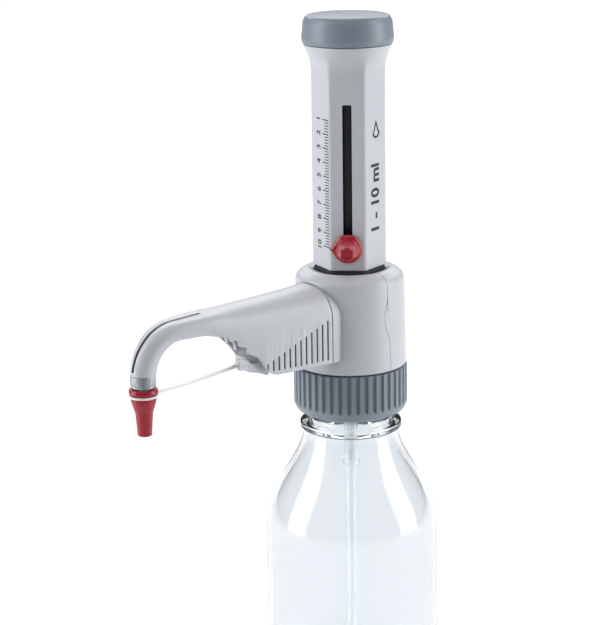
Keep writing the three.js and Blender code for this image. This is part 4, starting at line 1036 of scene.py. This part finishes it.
def discharge_tube():
    route = discharge_route(TUBE_START, box_mm("discharge_tube")[0].z - seam)
    rings = tube_rings(route, TUBE_RADIUS) + tube_rings(route, TUBE_BORE)[::-1]
    piece = mesh_object("discharge_tube_run", lofted_mesh(rings, ends="join"))
    # The greyer tint of this tube's material is painted shade from the arm above it.
    finished(piece, shade_painted_tube, "dispenser", "discharge_tube")


def nozzle_sleeve():
    profile = fillet([
        (2.75, end_low.z, 0.3), (NOZZLE_RADIUS - 0.3, end_low.z, 0.5),
        (NOZZLE_RADIUS, end_low.z + 2.4, 1.0), (NOZZLE_RADIUS, end_high.z, 0.3), (2.75, end_high.z, 0.3),
    ], steps=4)
    piece = mesh_object("nozzle_end_sleeve", moved(turned_mesh(profile, 96), shift=(-arm_reach, 0, 0)))
    finished(piece, milky_pfa, "dispenser", "nozzle_sleeve")


# ---------- screw cap and tether

STRAP_THICKNESS = 1.0
TETHER_BORE = 6.15
TETHER_RADIUS = 6.86


def screw_cap():
    """The closing cap: a rolled flange, a short body and a long stem with shallow flutes for the fingers."""
    low, high = screw_low.z, screw_high.z
    profile = fillet([
        (0, low, 0.0), (3.35, low, 0.9), (4.15, high - 11.5, 2.0), (5.35, high - 7.6, 2.5),
        (5.85, high - 5.9, 1.2), (5.85, high - 2.6, 0.0), (6.5, high - 2.6, 0.2),
        (6.76, high - 1.6, 0.8), (6.5, high, 0.7), (4.9, high, 0.4), (4.6, high - 5.9, 0.5),
        (2.65, high - 11.5, 1.0), (2.15, low + 4, 0.3), (0, low + 3, 0.0),
    ], closed=False, steps=6)
    verts, faces = turned_mesh(subdivided(profile, 1.5, closed=False), 120)
    shaped = []
    for x, y, z in verts:
        radius = math.hypot(x, y)
        on_stem = smooth_step((high - 9.5 - z) / 3) * smooth_step((z - low - 0.3) / 1.2)
        if radius > 3.2 and on_stem > 0:
            angle = math.atan2(y, x)
            flute = 0.13 * (0.5 + 0.5 * math.cos(10 * angle)) * on_stem
            x, y = x * (radius - flute) / radius, y * (radius - flute) / radius
        shaped.append((x - arm_reach, y, z))
    piece = mesh_object("outlet_screw_cap", (shaped, faces))
    finished(piece, red_polypropylene, "cap", "screw_cap")


def cap_tether():
    """Ring round the cap, flat strap and the eye on its pin, moulded in one."""
    half = STRAP_THICKNESS / 2
    ring_middle = box_mm("cap_tether")[0].z + half
    pin_reach, pin_height = -pin_middle.x, pin_middle.z
    low, high = ring_middle - half, ring_middle + half
    profile = fillet([(TETHER_BORE, low, 0.15), (TETHER_RADIUS, low, 0.3),
                      (TETHER_RADIUS, high, 0.3), (TETHER_BORE, high, 0.15)], steps=3)
    piece = mesh_object("cap_tether_strap", moved(turned_mesh(profile, 96), shift=(-arm_reach, 0, 0)))
    start = Vector((pin_reach + 1.9, pin_height))
    end = Vector((arm_reach - TETHER_RADIUS + 0.25, ring_middle))
    sag = (start + end) / 2 - Vector((0, 1.0))
    section = rounded_box(-1.5, 1.5, -half, half, 0.3, steps=3)
    rings = []
    for k in range(25):
        t = k / 24
        s, z = start * (1 - t) ** 2 + sag * 2 * t * (1 - t) + end * t ** 2
        rings.append([(-s, y, z + up) for y, up in section])
    eye = turned_mesh([(0, -1.5), (2.7, -1.5), (2.9, -1.3), (2.9, 1.3), (2.7, 1.5), (0, 1.5)], 48)
    place = (-pin_reach, 0, pin_height)
    cut(piece, [lofted_mesh(rings), moved(eye, 90, place, "X")], "UNION")
    cut(piece, [moved(rod(1.5, -3, 3, 32), 90, place, "X")])
    finished(piece, white_polyethylene, "tether", "cap_tether")


def tether_bracket():
    """The bridge across the arm's opening: a saddle with a lug for the tether's pin on the near side."""
    reach, height = -pin_middle.x, pin_middle.z - seam
    half = box_mm("tether_bracket")[1].y
    outline = fillet([(reach + out, height + up, radius) for out, up, radius in (
        (-10, -5.6, 1.0), (-3.9, -3.0, 3.0), (2.5, -1.4, 1.0), (2.5, 4.6, 0.3),
        (1.0, 2.6, 1.5), (-1.5, 1.9, 2.5), (-5, 3.0, 3.0), (-9, 6, 0.8),
    )], steps=6)
    piece = mesh_object("tether_bracket_bridge", across_arm(outline, -half, half))
    bay = rounded_box(reach - 3.5, reach + 36.5, height - 15, height + 15)
    cut(piece, [across_arm(bay, -2.0, 30.0)])
    soften(piece, 0.25, 2, 40)
    finished(piece, pale_polypropylene, "dispenser", "tether_bracket")


def tether_pin():
    half = (pin_high.y - pin_low.y) / 2
    profile = [(0, -half), (1.0, -half), (1.2, 0.2 - half), (1.2, half - 0.2), (1.0, half), (0, half)]
    piece = mesh_object("tether_pin_rod", moved(turned_mesh(profile, 40), 90, tuple(pin_middle), "X"))
    finished(piece, stainless_steel, "dispenser", "tether_pin")


# ---------- tubes, valves and inner pieces


def filling_tubes():
    """The upper tube with its rim, and the lower one that slides in it and is cut off at a slant."""
    low, high = box_mm("upper_filling_tube")
    profile = fillet([
        (2.5, low.z, 0.2), (high.x, low.z, 0.4), (high.x, low.z + 1.6, 0.4),
        (3.4, low.z + 2.4, 0.4), (3.4, high.z, 0.2), (2.5, high.z, 0.1),
    ], steps=4)
    upper = mesh_object("upper_filling_tube_run", turned_mesh(profile, 64))
    finished(upper, pfa_tube, "dispenser", "upper_filling_tube")
    low, high = box_mm("lower_filling_tube")
    lower = mesh_object("lower_filling_tube_run", turned_mesh(rounded_box(1.5, 2.3, low.z, high.z), 64))
    slant = lofted_mesh([[(x, y, z) for x, z in rounded_box(-9, 9, -4, 4)] for y in (-9, 9)])
    cut(lower, [moved(slant, 35, (0, 0, low.z - 3), "Y")])
    finished(lower, pfa_tube, "telescoping_tube", "lower_filling_tube")


def guide_tube():
    """The black tube behind the slot, with the rim that stops the stroke."""
    low, rim, high = guide_low.z, guide_high.z - 2.5, guide_high.z
    profile = fillet([(9.6, low, 0.2), (12.0, low, 0.3), (12.0, rim, 0.2), (13.7, rim, 0.3),
                      (13.7, high, 0.4), (9.6, high, 0.3)], steps=3)
    piece = mesh_object("inner_guide_tube", turned_mesh(profile, 96))
    finished(piece, black_acetal, "dispenser", "guide_tube")


def carried_over():
    """CAD nodes whose shape is right as it is get their real material and smooth shading."""
    finishes = {
        "filling_valve_seat": white_ptfe, "valve_block": white_ptfe, "piston_head": white_ptfe,
        "discharge_valve_body": white_ptfe, "piston_rod": white_alumina,
        "filling_valve_ball": white_alumina, "discharge_valve_ball": white_alumina,
        "glass_cylinder": borosilicate_glass, "calibration_nut": black_acetal,
        "pointer_clamp": black_acetal, "discharge_valve_spring": stainless_steel,
    }
    for name, material in finishes.items():
        node = frame["nodes"][name]
        for slot in node.material_slots:
            slot.material = material
        for face in node.data.polygons:
            face.use_smooth = True
        node.data.set_sharp_from_angle(angle=math.radians(35))


# ---------- studio

FLOOR_HALF = 9000.0
WORLD_LIGHT = 0.15
CAMERA_DISTANCE = 946.8  # level distance from the bottle's axis
CAMERA_TURN = 41.5  # degrees round from the arm's broad side towards the arm
CAMERA_RISE = 272.5  # above the seam
CAMERA_PITCH = 14.67
CAMERA_YAW = -1.33
CAMERA_ROLL = -0.81
FOCAL_LENGTH = 115.2


def studio():
    """A pale level floor, and a dim even light from all round."""
    material, tree, shader, place = new_material("pale_paper_sweep")
    # Clouds of two whites, half a metre across, so that the floor isn't dead flat in tone.
    tone = two_tones(tree, noise(tree, place, 500, Detail=2.0), "#f4f4f5", "#f8f8f8")
    settle(tree, shader, {"Base Color": tone}, Roughness=0.9)
    square = rounded_box(-FLOOR_HALF, FLOOR_HALF, -FLOOR_HALF, FLOOR_HALF)
    floor = mesh_object("studio_floor", lofted_mesh([[(x, y, z) for x, y in square] for z in (-0.05, 0)]))
    floor.data.materials.append(material)
    world = bpy.data.worlds.new("soft_studio")
    bpy.context.scene.world = world
    world.use_nodes = True
    sky = world.node_tree.nodes["Background"]
    settle(world.node_tree, sky, Color=colour("#f2f5f8"), Strength=WORLD_LIGHT)


def soft_light(name, turn, distance, height, width, tall, power, faces_down=False):
    """A rectangular soft light that faces the head of the dispenser, or straight down onto the floor."""
    lamp = bpy.data.lights.new(name, "AREA")
    fitted(lamp, shape="RECTANGLE", size=width, size_y=tall, energy=power)
    angle = math.radians(turn)
    place = Vector((distance * math.sin(angle), -distance * math.cos(angle), height))
    aim = (place - Vector((0, 0, seam * MM))).to_track_quat("Z", "Y").to_matrix().to_4x4()
    if faces_down:
        aim = Matrix.Rotation(-angle, 4, "Z")
    add_object(name, lamp).matrix_world = Matrix.Translation(place) @ aim


def camera():
    """Stands at the arm's broad side, turned towards the arm, and looks down at the head."""
    turn = math.radians(CAMERA_TURN)
    lens = fitted(bpy.data.cameras.new("view"), lens=FOCAL_LENGTH, sensor_width=36, clip_start=0.01)
    holder = add_object("view", lens)
    place = Vector((-CAMERA_DISTANCE * math.sin(turn), -CAMERA_DISTANCE * math.cos(turn),
                    seam + CAMERA_RISE)) * MM
    # The heading counts from +Y, positive to the right. Then come the pitch down and the roll.
    heading = turn + math.radians(CAMERA_YAW)
    holder.matrix_world = (
        Matrix.Translation(place)
        @ Matrix.Rotation(-heading, 4, "Z")
        @ Matrix.Rotation(math.pi / 2 - math.radians(CAMERA_PITCH), 4, "X")
        @ Matrix.Rotation(math.radians(CAMERA_ROLL), 4, "Z")
    )
    bpy.context.scene.camera = holder


bpy.context.scene.view_settings.view_transform = "Standard"
camera()
studio()
soft_light("left_softbox", -CAMERA_TURN - 78, 0.9, 0.45, 0.5, 1.2, 8.2)
soft_light("right_softbox", -CAMERA_TURN + 82, 0.9, 0.45, 0.5, 1.2, 8.2)
soft_light("top_softbox", -CAMERA_TURN - 20, 0.3, 1.1, 0.7, 0.7, 1.6)
# Hangs behind the object, out of view, and makes the floor there nearly white.
soft_light("sweep_light", -CAMERA_TURN + 180, 2.3, 1.4, 3.0, 3.0, 74, faces_down=True)

bottle()
bottle_thread()
thread_ring()
ring_piece("seam_washer", "swivel_washer", RING_LIP_BORE, 0.3, dark_elastomer, "dispenser")
ring_piece("bottle_seal_ring", "bottle_seal", MOUTH_RADIUS, 0.2, white_ptfe, "seal")
handle_sleeve()
top_cap()
volume_scale()
range_print()
volume_pointer()
pointer_knob()
front_housing()
rear_housing()
vent_plug()
sleeve_seat()
discharge_arm()
discharge_tube()
nozzle_sleeve()
screw_cap()
cap_tether()
tether_bracket()
tether_pin()
filling_tubes()
guide_tube()
carried_over()
